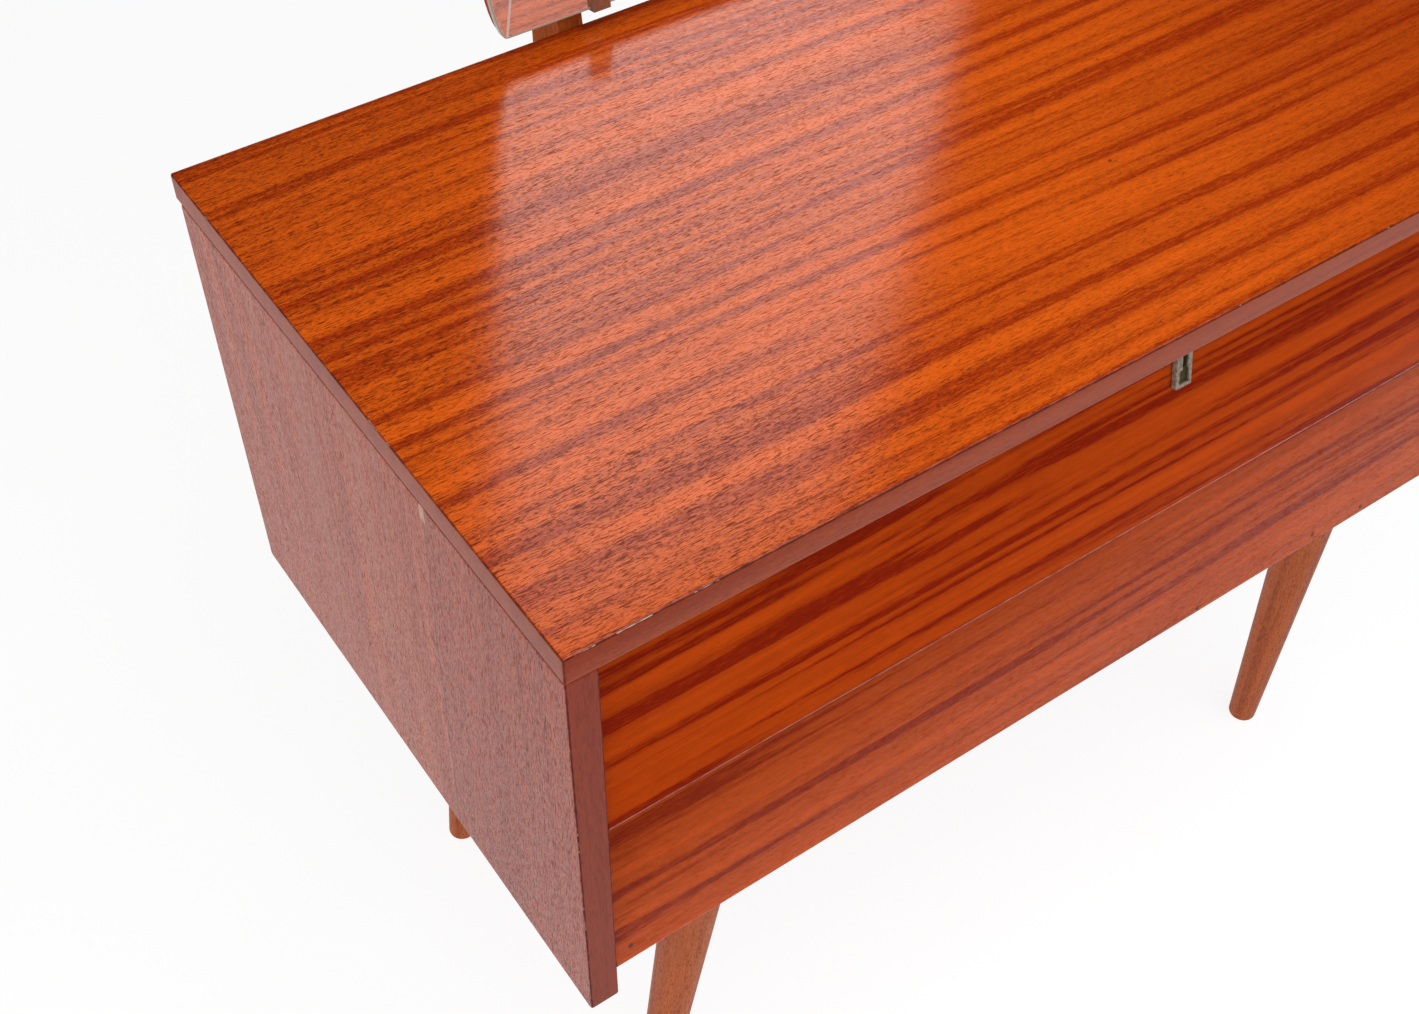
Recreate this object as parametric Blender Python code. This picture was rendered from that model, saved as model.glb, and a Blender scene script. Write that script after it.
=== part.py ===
"""Dressing table with two drawers on splayed legs and a tilting mirror on two uprights.

Metres, +Z up, +X to the right, +Y towards the back. The origin is on the floor, under the middle of the
whole object, mirror included. Depths are counted from the front edge of the top, heights from the floor.
"""

import math

import bmesh
import bpy
from mathutils import Matrix, Vector

# ---------------------------------------------------------------- driving dimensions
WIDTH = 0.814
DEPTH = 0.420
TOP_HEIGHT = 0.690
TOP_THICK = 0.0175
SIDE_THICK = 0.018
CASE_HEIGHT = 0.3175
GAP = 0.0003

# case
SIDE_BACK_INSET = 0.006
BACK_THICK = 0.005
BACK_INSET = 0.003
BOTTOM_THICK = 0.015
BOTTOM_RAISE = 0.0055
BOTTOM_SETBACK = 0.040
DIVIDER_THICK = 0.012
DIVIDER_SETBACK = 0.056
PANEL_ROUND = 0.0012
SIDE_CORNER = 0.003
TOP_CORNER = 0.0016

# drawer fronts
FRONT_SLANT = math.radians(12)
FRONT_THICK = 0.018
FRONT_PROUD_DEPTH = 0.002
FRONT_SIDE_GAP = 0.0015
UPPER_FRONT_TOP = TOP_HEIGHT - TOP_THICK - 0.0012
UPPER_FRONT_LOW = TOP_HEIGHT - 0.155
LOWER_FRONT_TOP = TOP_HEIGHT - 0.1572
LOWER_FRONT_LOW = TOP_HEIGHT - 0.294
FRONT_ROUND = 0.0026

# drawer boxes
BOX_SIDE_THICK = 0.012
BOX_SIDE_GAP = 0.0012
BOX_BACK_THICK = 0.010
BOX_BACK_DEPTH = 0.395
BOX_BOTTOM_THICK = 0.004
BOX_BOTTOM_RAISE = 0.007
BOX_GROOVE_DEPTH = 0.006
UPPER_BOX_LOW = TOP_HEIGHT - 0.150
UPPER_BOX_TOP = TOP_HEIGHT - 0.052
LOWER_BOX_LOW = TOP_HEIGHT - 0.293
LOWER_BOX_TOP = TOP_HEIGHT - 0.182
RUNNER_HEIGHT = 0.012
RUNNER_REACH = 0.0065
RUNNER_FRONT_DEPTH = 0.062
RUNNER_BACK_DEPTH = 0.400

# lock
LOCK_X = 0.0017
LOCK_WIDTH = 0.012
LOCK_TALL = 0.044
LOCK_PROUD = 0.004
LOCK_FOOT_BELOW_TOP = 0.0685
LOCK_RIM = 0.0024
LOCK_RECESS_OVERLAP = 0.0006
KEYWAY_LOW = -0.0108
KEYWAY_X = 0.0005
KEYWAY_WIDTH = 0.0043
LOCK_CASE_SIZE = (0.046, 0.011, 0.040)
LOCK_CASE_BELOW_TOP = 0.0022
BOLT_SIZE = (0.020, 0.0052, 0.026)
BOLT_THROW = 0.009
STRIKE_SIZE = (0.040, 0.020, 0.0012)

# legs
LEG_TOP_SIDE_INSET = 0.128
LEG_FOOT_SIDE_INSET = 0.088
LEG_TOP_DEPTHS = (0.069, 0.358)
LEG_FOOT_DEPTHS = (0.084, 0.373)
LEG_TOP_RADIUS = 0.0217
LEG_FOOT_RADIUS = 0.0115
LEG_FOOT_ROUND = 0.003
LEG_SIDES = 40
LEG_PLATE_SIZE = 0.062
LEG_PLATE_THICK = 0.0025
LEG_BOLT_RADIUS = 0.004
LEG_BOLT_UP = 0.012
LEG_BOLT_DOWN = 0.034

# mirror, in its own leaning frame: X across, Y backwards, Z up, origin on the tilt axis
MIRROR_LEAN = math.radians(9)
MIRROR_WIDTH = 0.402
MIRROR_TALL = 0.740
MIRROR_BELOW_AXIS = 0.400
MIRROR_LOW_FRONT_DEPTH = 0.409
MIRROR_LOW_ABOVE_TOP = 0.0156
GLASS_THICK = 0.004
BOARD_THICK = 0.008
GLASS_CORNER = 0.008
BOARD_CORNER = 0.009
CORNER_TALL = 0.046
CORNER_STEPS = 8
BOARD_INSET = 0.0010
FACET_WIDTH = 0.022
FACET_RUNOUT = 0.052
FACET_DEPTH = 0.0012
UPRIGHT_THICK = 0.0175
UPRIGHT_DEEP = 0.036
UPRIGHT_OUTER_INSET = 0.257
UPRIGHT_CLEARANCE = 0.0034
UPRIGHT_LOW = TOP_HEIGHT - 0.290
CLIP_WIDTH = 0.0125
CLIP_LIP = 0.020
CLIP_FRONT = 0.0034
CLIP_WALL = 0.0012
CLIP_SOFT = 0.0003
CLIP_INSET = 0.067
BUFFER_RADIUS = 0.006
BUFFER_ABOVE_LOW_EDGE = 0.05

# pivots between the uprights and the mirror
BRACKET_WALL = 0.0022
BRACKET_FOOT = 0.022
BRACKET_HALF_TALL = 0.016
BRACKET_REACH = 0.011
PIVOT_GAP = 0.0008
PIVOT_RADIUS = 0.003
PIVOT_PLAY = 0.0003
PIVOT_HEAD = (0.0062, 0.0030)
PIVOT_NUT = (0.0068, 0.0095)
PIVOT_STUD_PROUD = 0.006

# screws through the uprights: head radius, head height, shank radius
SCREW_HEAD_RADIUS = 0.0045
SCREW_HEAD_TALL = 0.0028
SCREW_SHANK = 0.0021
SCREW_GRIP = 0.006
SCREWS_BELOW_TOP = (("upper", 0.060), ("lower", 0.255))

# positions worked out from the dimensions
MIRROR_BACK = GLASS_THICK + BOARD_THICK
AXIS_OFFSET = MIRROR_BACK + UPRIGHT_CLEARANCE + UPRIGHT_DEEP / 2
AXIS_DEPTH = (
    MIRROR_LOW_FRONT_DEPTH
    + MIRROR_BELOW_AXIS * math.sin(MIRROR_LEAN)
    + AXIS_OFFSET * math.cos(MIRROR_LEAN)
)
AXIS_HEIGHT = (
    TOP_HEIGHT
    + MIRROR_LOW_ABOVE_TOP
    + MIRROR_BELOW_AXIS * math.cos(MIRROR_LEAN)
    - AXIS_OFFSET * math.sin(MIRROR_LEAN)
)
MIRROR_REAR_DEPTH = (
    MIRROR_LOW_FRONT_DEPTH
    + (MIRROR_TALL + GAP + CLIP_WALL - CLIP_SOFT) * math.sin(MIRROR_LEAN)
    + (MIRROR_BACK + GAP + CLIP_WALL) * math.cos(MIRROR_LEAN)
)
FRONT_Y = -max(AXIS_DEPTH + UPRIGHT_DEEP / 2, MIRROR_REAR_DEPTH) / 2
INNER_X = WIDTH / 2 - SIDE_THICK
CASE_LOW = TOP_HEIGHT - CASE_HEIGHT
UNDER_TOP = TOP_HEIGHT - TOP_THICK
BOTTOM_LOW = CASE_LOW + BOTTOM_RAISE
BOTTOM_TOP = BOTTOM_LOW + BOTTOM_THICK
BACK_REAR = FRONT_Y + DEPTH - SIDE_BACK_INSET - BACK_INSET
BACK_FRONT = BACK_REAR - BACK_THICK
DIVIDER_TOP = UPPER_BOX_LOW - 0.0035
DIVIDER_LOW = DIVIDER_TOP - DIVIDER_THICK
BOX_OUTER_X = INNER_X - BOX_SIDE_GAP
UPRIGHT_OUTER_X = WIDTH / 2 - UPRIGHT_OUTER_INSET
UPRIGHT_MID_X = UPRIGHT_OUTER_X - UPRIGHT_THICK / 2
UPRIGHT_FRONT_Y = FRONT_Y + DEPTH + GAP

SIDES = (("left", -1), ("right", 1))


def clear_scene():
    for obj in list(bpy.data.objects):
        bpy.data.objects.remove(obj, do_unlink=True)


# ---------------------------------------------------------------- materials
def material(name, colour, roughness, metallic=0.0):
    mat = bpy.data.materials.new(name)
    mat.use_nodes = True
    shader = mat.node_tree.nodes["Principled BSDF"]
    shader.inputs["Base Color"].default_value = (*colour, 1)
    shader.inputs["Roughness"].default_value = roughness
    shader.inputs["Metallic"].default_value = metallic
    mat.diffuse_color = (*colour, 1)
    return mat


def make_materials():
    return {
        "top_veneer": material("top_veneer", (0.46, 0.125, 0.022), 0.22),
        "side_veneer": material("side_veneer", (0.30, 0.105, 0.055), 0.30),
        "front_veneer": material("front_veneer", (0.34, 0.075, 0.012), 0.25),
        "leg_wood": material("leg_wood", (0.30, 0.120, 0.050), 0.42),
        "mirror_wood": material("mirror_wood", (0.20, 0.055, 0.022), 0.35),
        "beech": material("beech", (0.52, 0.34, 0.19), 0.60),
        "plywood": material("plywood", (0.47, 0.31, 0.17), 0.65),
        "nickel": material("nickel", (0.50, 0.47, 0.40), 0.40, 1.0),
        "brass": material("brass", (0.42, 0.33, 0.14), 0.45, 1.0),
        "steel": material("steel", (0.42, 0.42, 0.43), 0.38, 1.0),
        "clip_bronze": material("clip_bronze", (0.16, 0.11, 0.075), 0.40, 0.6),
        "felt": material("felt", (0.03, 0.055, 0.035), 0.95),
        "mirror_glass": material("mirror_glass", (0.90, 0.92, 0.91), 0.02, 1.0),
    }


# ---------------------------------------------------------------- shapes
def add_object(name, mesh, mat, location=(0, 0, 0), parent=None):
    obj = bpy.data.objects.new(name, mesh)
    bpy.context.collection.objects.link(obj)
    if mat is not None:
        mesh.materials.append(mat)
    obj.location = location
    obj.parent = parent
    return obj


def mesh_from(bm, name):
    bmesh.ops.recalc_face_normals(bm, faces=bm.faces)
    mesh = bpy.data.meshes.new(name)
    bm.to_mesh(mesh)
    bm.free()
    return mesh


def box(name, low, high, mat, parent=None):
    """A plain board between two corners, its origin in its middle."""
    low, high = Vector(low), Vector(high)
    size = high - low
    bm = bmesh.new()
    bmesh.ops.create_cube(bm, size=1.0)
    bmesh.ops.scale(bm, vec=size, verts=bm.verts)
    return add_object(name, mesh_from(bm, name), mat, (low + high) / 2, parent)


def prism(name, outline, start, end, to_point, mat, location=(0, 0, 0), parent=None):
    """An outline swept straight from start to end; to_point turns (u, v, w) into a point."""
    bm = bmesh.new()
    near = [bm.verts.new(to_point(u, v, start)) for u, v in outline]
    far = [bm.verts.new(to_point(u, v, end)) for u, v in outline]
    bm.faces.new(near)
    bm.faces.new(far)
    for i in range(len(outline)):
        j = (i + 1) % len(outline)
        bm.faces.new((near[i], near[j], far[j], far[i]))
    return add_object(name, mesh_from(bm, name), mat, location, parent)


def along_x(u, v, w):
    return (w, u, v)


def along_y(u, v, w):
    return (u, w, v)


def along_z(u, v, w):
    return (u, v, w)


def cylinder(name, radius, length, direction, centre, mat, sides=24, parent=None):
    """A round bar of that length whose middle is at centre, its axis along direction."""
    bm = bmesh.new()
    bmesh.ops.create_cone(
        bm, cap_ends=True, segments=sides, radius1=radius, radius2=radius, depth=length
    )
    turn = Vector(direction).to_track_quat("Z", "Y").to_matrix().to_4x4()
    bmesh.ops.transform(bm, matrix=turn, verts=bm.verts)
    obj = add_object(name, mesh_from(bm, name), mat, centre, parent)
    shade_round(obj)
    return obj


def shade_round(obj):
    obj.data.shade_smooth()
    obj.data.set_sharp_from_angle(angle=math.radians(35))


def rounded(points, radii, steps=4):
    """The outline with each corner replaced by an arc of its radius, or kept where that is zero."""
    result = []
    count = len(points)
    for i, radius in enumerate(radii):
        corner = Vector(points[i])
        if radius == 0:
            result.append(tuple(corner))
            continue
        back = (Vector(points[i - 1]) - corner).normalized()
        ahead = (Vector(points[(i + 1) % count]) - corner).normalized()
        half = back.angle(ahead) / 2
        centre = corner + (back + ahead).normalized() * (radius / math.sin(half))
        first = corner + back * (radius / math.tan(half)) - centre
        last = corner + ahead * (radius / math.tan(half)) - centre
        turn = first.angle_signed(last)
        for k in range(steps + 1):
            result.append(tuple(centre + Matrix.Rotation(-turn * k / steps, 2) @ first))
    return result


def soften(obj, width, segments=2):
    bevel = obj.modifiers.new("soft_edges", "BEVEL")
    bevel.width = width
    bevel.segments = segments
    bevel.limit_method = "ANGLE"
    bevel.angle_limit = math.radians(40)
    return obj


def cut(target, cutter):
    cutter.hide_render = True
    cutter.display_type = "WIRE"
    hole = target.modifiers.new("cut_" + cutter.name, "BOOLEAN")
    hole.operation = "DIFFERENCE"
    hole.solver = "EXACT"
    hole.object = cutter
    return target


def empty(name, location, turn_x=0.0, parent=None):
    obj = bpy.data.objects.new(name, None)
    bpy.context.collection.objects.link(obj)
    obj.location = location
    obj.rotation_euler = (turn_x, 0, 0)
    obj.parent = parent
    return obj


# ---------------------------------------------------------------- case
def make_top(mats):
    half = WIDTH / 2
    corners = [
        (-half, FRONT_Y),
        (half, FRONT_Y),
        (half, FRONT_Y + DEPTH),
        (-half, FRONT_Y + DEPTH),
    ]
    outline = rounded(corners, [TOP_CORNER] * 4)
    top = prism(
        "top_panel", outline, UNDER_TOP, TOP_HEIGHT, along_z, mats["top_veneer"]
    )
    return soften(top, PANEL_ROUND)


def make_side_panel(name, sign, mats):
    front, back = FRONT_Y, FRONT_Y + DEPTH - SIDE_BACK_INSET
    corners = [
        (front, UNDER_TOP - GAP),
        (front, CASE_LOW),
        (back, CASE_LOW),
        (back, UNDER_TOP - GAP),
    ]
    outline = rounded(corners, [0, SIDE_CORNER, SIDE_CORNER, 0])
    outer = sign * WIDTH / 2
    panel = prism(
        name, outline, outer, outer - sign * SIDE_THICK, along_x, mats["side_veneer"]
    )
    return soften(panel, PANEL_ROUND)


def make_inner_panels(mats):
    half = INNER_X - GAP
    box(
        "bottom_panel",
        (-half, FRONT_Y + BOTTOM_SETBACK, BOTTOM_LOW),
        (half, BACK_FRONT - GAP, BOTTOM_TOP),
        mats["side_veneer"],
    )
    box(
        "divider_panel",
        (-half, FRONT_Y + DIVIDER_SETBACK, DIVIDER_LOW),
        (half, BACK_FRONT - GAP, DIVIDER_TOP),
        mats["beech"],
    )
    box(
        "back_panel",
        (-half, BACK_FRONT, BOTTOM_LOW),
        (half, BACK_REAR, UNDER_TOP - GAP),
        mats["plywood"],
    )


def make_runner(name, sign, middle, mats):
    wall = sign * (INNER_X - GAP)
    tip = sign * (INNER_X - GAP - RUNNER_REACH)
    box(
        name,
        (min(wall, tip), FRONT_Y + RUNNER_FRONT_DEPTH, middle - RUNNER_HEIGHT / 2),
        (max(wall, tip), FRONT_Y + RUNNER_BACK_DEPTH, middle + RUNNER_HEIGHT / 2),
        mats["beech"],
    )


# ---------------------------------------------------------------- drawers
def slanted_depth(height, low_edge):
    """How far back a front's outer face is at a height; its lower edge stands forward."""
    return FRONT_Y + FRONT_PROUD_DEPTH + (height - low_edge) * math.tan(FRONT_SLANT)


def make_drawer_front(name, low, high, groove_low, origin, mats):
    """A slanted board with a groove in its back for the drawer's bottom."""
    through = FRONT_THICK / math.cos(FRONT_SLANT)
    groove_high = groove_low + BOX_BOTTOM_THICK + 2 * GAP

    def inner(height, inset=0.0):
        return (slanted_depth(height, low) + through - inset, height)

    corners = [
        (slanted_depth(high, low), high),
        (slanted_depth(low, low), low),
        inner(low),
        inner(groove_low),
        inner(groove_low, BOX_GROOVE_DEPTH),
        inner(groove_high, BOX_GROOVE_DEPTH),
        inner(groove_high),
        inner(high),
    ]
    outline = rounded(corners, [0.001, FRONT_ROUND, 0.001, 0, 0, 0, 0, 0.001])
    half = INNER_X - FRONT_SIDE_GAP
    placed = [(y - origin.location.y, z - origin.location.z) for y, z in outline]
    return prism(
        name, placed, -half, half, along_x, mats["front_veneer"], parent=origin
    )


def make_box_side(name, sign, low, high, front_low, origin, mats):
    """A drawer side: a runner groove outside, a groove for the bottom inside."""
    outer, inner = BOX_OUTER_X, BOX_OUTER_X - BOX_SIDE_THICK
    runner_low = (low + high) / 2 - RUNNER_HEIGHT / 2 - GAP
    runner_high = (low + high) / 2 + RUNNER_HEIGHT / 2 + GAP
    groove_low = low + BOX_BOTTOM_RAISE
    groove_high = groove_low + BOX_BOTTOM_THICK + 2 * GAP
    profile = [
        (inner, low),
        (outer, low),
        (outer, runner_low),
        (outer - BOX_GROOVE_DEPTH, runner_low),
        (outer - BOX_GROOVE_DEPTH, runner_high),
        (outer, runner_high),
        (outer, high),
        (inner, high),
        (inner, groove_high),
        (inner + BOX_GROOVE_DEPTH / 2, groove_high),
        (inner + BOX_GROOVE_DEPTH / 2, groove_low),
        (inner, groove_low),
    ]
    through = FRONT_THICK / math.cos(FRONT_SLANT) + GAP
    back = FRONT_Y + BOX_BACK_DEPTH

    def to_point(x, z, share):
        """A share of 0 is at the front's slanting back, 1 at the box's rear."""
        start = slanted_depth(z, front_low) + through
        y = start + (back - start) * share
        return (sign * x, y - origin.location.y, z - origin.location.z)

    return prism(name, profile, 0, 1, to_point, mats["beech"], parent=origin)


def make_drawer(prefix, box_low, box_high, front_low, front_high, mats):
    """One drawer, parented to an empty at its front that slides along -Y."""
    origin = empty(prefix + "_slide", (0, FRONT_Y, (box_low + box_high) / 2))
    groove_low = box_low + BOX_BOTTOM_RAISE
    front = make_drawer_front(
        prefix + "_front", front_low, front_high, groove_low, origin, mats
    )
    for side, sign in SIDES:
        name = prefix + "_side_" + side
        make_box_side(name, sign, box_low, box_high, front_low, origin, mats)
    inner = BOX_OUTER_X - BOX_SIDE_THICK
    back = FRONT_Y + BOX_BACK_DEPTH
    bottom_low = groove_low + GAP
    bottom_high = bottom_low + BOX_BOTTOM_THICK
    through = FRONT_THICK / math.cos(FRONT_SLANT)
    bottom_front = slanted_depth(groove_low, front_low) + through
    reach = inner + BOX_GROOVE_DEPTH / 2 - GAP
    at = Vector(origin.location)
    box(
        prefix + "_bottom",
        Vector((-reach, bottom_front - BOX_GROOVE_DEPTH / 2, bottom_low)) - at,
        Vector((reach, back, bottom_high)) - at,
        mats["plywood"],
        origin,
    )
    box(
        prefix + "_back",
        Vector((-inner + GAP, back - BOX_BACK_THICK, bottom_high + GAP)) - at,
        Vector((inner - GAP, back, box_high)) - at,
        mats["beech"],
        origin,
    )
    return origin, front


# ---------------------------------------------------------------- lock
def make_lock(drawer, front, mats):
    """Lock housing outside the upper front, lock case and bolt inside it."""
    middle = TOP_HEIGHT - LOCK_FOOT_BELOW_TOP + LOCK_TALL / 2 * math.cos(FRONT_SLANT)
    on_face = Vector((LOCK_X, slanted_depth(middle, UPPER_FRONT_LOW), middle))
    frame = empty("lock_frame", on_face - drawer.location, -FRONT_SLANT, drawer)
    half_w, half_t = LOCK_WIDTH / 2, LOCK_TALL / 2
    plate = box(
        "lock_housing",
        (-half_w, -LOCK_PROUD - GAP, -half_t),
        (half_w, -GAP, half_t),
        mats["nickel"],
        frame,
    )
    soften(plate, 0.0006)
    proud = LOCK_PROUD + 0.002
    recess_x = half_w - LOCK_RIM
    recess = box(
        "lock_recess_cutter",
        (-recess_x, -proud, -half_t + LOCK_RIM),
        (recess_x, -GAP - LOCK_PROUD / 3, KEYWAY_LOW + LOCK_RECESS_OVERLAP),
        None,
        frame,
    )
    cut(plate, recess)
    near, far = KEYWAY_X - KEYWAY_WIDTH / 2, KEYWAY_X + KEYWAY_WIDTH / 2
    key_low, key_high = KEYWAY_LOW, half_t - LOCK_RIM
    key_slot = box(
        "lock_keyway_cutter", (near, -proud, key_low), (far, 0.001, key_high), None, frame
    )
    cut(plate, key_slot)
    keyway = box(
        "front_keyway_cutter",
        (near, -0.002, key_low),
        (far, FRONT_THICK + 0.002, key_high),
        None,
        frame,
    )
    cut(front, keyway)
    make_lock_case(frame, middle, mats)


def make_lock_case(frame, middle, mats):
    """Case on the front's back, just under the top, with the bolt drawn back into it."""
    wide, deep, tall = LOCK_CASE_SIZE
    near = FRONT_THICK + GAP
    rise = UNDER_TOP - LOCK_CASE_BELOW_TOP - middle
    top = rise / math.cos(FRONT_SLANT) + near * math.tan(FRONT_SLANT)
    case = box(
        "lock_case",
        (-wide / 2, near, top - tall),
        (wide / 2, near + deep, top),
        mats["steel"],
        frame,
    )
    bolt_w, bolt_d, bolt_t = BOLT_SIZE
    centre = near + deep / 2
    pocket = box(
        "bolt_pocket_cutter",
        (-bolt_w / 2 - GAP, centre - bolt_d / 2 - GAP, top - bolt_t - 0.001),
        (bolt_w / 2 + GAP, centre + bolt_d / 2 + GAP, top + 0.01),
        None,
        frame,
    )
    cut(case, pocket)
    box(
        "lock_bolt",
        (-bolt_w / 2, centre - bolt_d / 2, top - bolt_t),
        (bolt_w / 2, centre + bolt_d / 2, top),
        mats["brass"],
        frame,
    )


def make_strike(top, mats):
    """The plate in the top's underside that the lock bolt shoots into."""
    housing_middle = TOP_HEIGHT - LOCK_FOOT_BELOW_TOP
    housing_middle += LOCK_TALL / 2 * math.cos(FRONT_SLANT)
    inwards = FRONT_THICK + GAP + LOCK_CASE_SIZE[1] / 2
    start_y = slanted_depth(housing_middle, UPPER_FRONT_LOW)
    start_y += inwards * math.cos(FRONT_SLANT)
    start_z = housing_middle - inwards * math.sin(FRONT_SLANT)
    bolt_y = start_y + (UNDER_TOP - start_z) * math.tan(FRONT_SLANT)
    wide, deep, thick = STRIKE_SIZE
    low, high = UNDER_TOP + GAP, UNDER_TOP + GAP + thick
    strike = box(
        "strike_plate",
        (LOCK_X - wide / 2, bolt_y - deep / 2, low),
        (LOCK_X + wide / 2, bolt_y + deep / 2, high),
        mats["steel"],
    )
    seat = box(
        "strike_seat_cutter",
        (LOCK_X - wide / 2 - GAP, bolt_y - deep / 2 - GAP, UNDER_TOP - 0.002),
        (LOCK_X + wide / 2 + GAP, bolt_y + deep / 2 + GAP, high + GAP),
        None,
    )
    bolt_w, bolt_d, _ = BOLT_SIZE
    slack = 0.002
    mortise = box(
        "strike_mortise_cutter",
        (LOCK_X - bolt_w / 2 - slack, bolt_y - bolt_d / 2 - slack, UNDER_TOP - 0.002),
        (
            LOCK_X + bolt_w / 2 + slack,
            bolt_y + bolt_d / 2 + slack,
            UNDER_TOP + BOLT_THROW + 0.001,
        ),
        None,
    )
    cut(strike, mortise)
    cut(top, seat)
    cut(top, mortise)


# ---------------------------------------------------------------- legs
def leg_profile(height, foot, top):
    """Radius and middle of a leg at a height: a straight taper with a rounded foot."""
    share = height / top[2]
    radius = LEG_FOOT_RADIUS + (LEG_TOP_RADIUS - LEG_FOOT_RADIUS) * share
    if height < LEG_FOOT_ROUND:
        drop = 1 - height / LEG_FOOT_ROUND
        radius -= LEG_FOOT_ROUND * (1 - math.sqrt(1 - drop * drop))
    return radius, foot + (top - foot) * share


def make_leg(name, foot, top, mat):
    """Turned leg whose ends are cut level, from its foot's middle up to its top's middle."""
    heights = [LEG_FOOT_ROUND * (1 - math.cos(math.radians(a))) for a in (0, 35, 62, 90)]
    heights.append(top[2])
    bm = bmesh.new()
    rings = []
    for height in heights:
        radius, middle = leg_profile(height, foot, top)
        ring = []
        for k in range(LEG_SIDES):
            angle = 2 * math.pi * k / LEG_SIDES
            out = Vector((math.cos(angle), math.sin(angle), 0)) * radius
            ring.append(bm.verts.new(middle + out - foot))
        rings.append(ring)
    for lower, upper in zip(rings, rings[1:]):
        for k in range(LEG_SIDES):
            j = (k + 1) % LEG_SIDES
            bm.faces.new((lower[k], lower[j], upper[j], upper[k]))
    bm.faces.new(rings[0][::-1])
    bm.faces.new(rings[-1])
    leg = add_object(name, mesh_from(bm, name), mat, foot)
    shade_round(leg)
    return leg


def make_leg_set(mats, bottom):
    top_z = BOTTOM_LOW - LEG_PLATE_THICK - 2 * GAP
    for row, foot_depth, top_depth in zip(
        ("front", "back"), LEG_FOOT_DEPTHS, LEG_TOP_DEPTHS
    ):
        for side, sign in SIDES:
            tag = row + "_" + side
            foot = Vector(
                (sign * (WIDTH / 2 - LEG_FOOT_SIDE_INSET), FRONT_Y + foot_depth, 0)
            )
            top = Vector(
                (sign * (WIDTH / 2 - LEG_TOP_SIDE_INSET), FRONT_Y + top_depth, top_z)
            )
            leg = make_leg("leg_" + tag, foot, top, mats["leg_wood"])
            make_leg_fixing(tag, leg, foot, top, bottom, mats)


def make_leg_fixing(tag, leg, foot, top, bottom, mats):
    """A plate under the bottom panel, and the hanger bolt that runs through it into the leg."""
    half = LEG_PLATE_SIZE / 2
    low = BOTTOM_LOW - LEG_PLATE_THICK - GAP
    plate = box(
        "leg_plate_" + tag,
        (top.x - half, top.y - half, low),
        (top.x + half, top.y + half, BOTTOM_LOW - GAP),
        mats["steel"],
    )
    axis = (top - foot).normalized()
    length = LEG_BOLT_UP + LEG_BOLT_DOWN
    middle = top + axis * (LEG_BOLT_UP - length / 2)
    cylinder(
        "leg_bolt_" + tag, LEG_BOLT_RADIUS, length, axis, middle, mats["steel"], 16
    )
    bore = cylinder(
        "leg_bore_cutter_" + tag,
        LEG_BOLT_RADIUS + GAP,
        length + 0.002,
        axis,
        middle,
        None,
        16,
    )
    for part in (plate, leg, bottom):
        cut(part, bore)


# ---------------------------------------------------------------- uprights
def upright_outline():
    """Side outline of an upright: straight down the case's back, leaning above it, round at its top."""
    lean = MIRROR_LEAN
    half = UPRIGHT_DEEP / 2
    axis = Vector((FRONT_Y + AXIS_DEPTH, AXIS_HEIGHT))
    upwards = Vector((math.sin(lean), math.cos(lean)))
    backwards = Vector((math.cos(lean), -math.sin(lean)))

    def where_vertical(start, y):
        return (y, start.y + (y - start.x) / upwards.x * upwards.y)

    front_y, rear_y = UPRIGHT_FRONT_Y, UPRIGHT_FRONT_Y + UPRIGHT_DEEP
    outline = [
        (rear_y, UPRIGHT_LOW),
        where_vertical(axis + backwards * half, rear_y),
    ]
    arc_steps = 20
    for k in range(arc_steps + 1):
        angle = math.pi * k / arc_steps
        offset = backwards * math.cos(angle) + upwards * math.sin(angle)
        outline.append(tuple(axis + offset * half))
    outline.append(where_vertical(axis - backwards * half, front_y))
    outline.append((front_y, UPRIGHT_LOW))
    return outline


def make_upright(side, sign, mats):
    x_mid = sign * UPRIGHT_MID_X
    half = UPRIGHT_THICK / 2
    upright = prism(
        "mirror_upright_" + side,
        upright_outline(),
        x_mid - half,
        x_mid + half,
        along_x,
        mats["mirror_wood"],
    )
    packer = box(
        "upright_packer_" + side,
        (x_mid - half, BACK_REAR + GAP, UPRIGHT_LOW),
        (x_mid + half, UPRIGHT_FRONT_Y - GAP, UNDER_TOP - 0.002),
        mats["beech"],
    )
    for place, below in SCREWS_BELOW_TOP:
        name = "upright_screw_" + place + "_" + side
        make_screw(name, x_mid, TOP_HEIGHT - below, (upright, packer), mats)
    return upright


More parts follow.
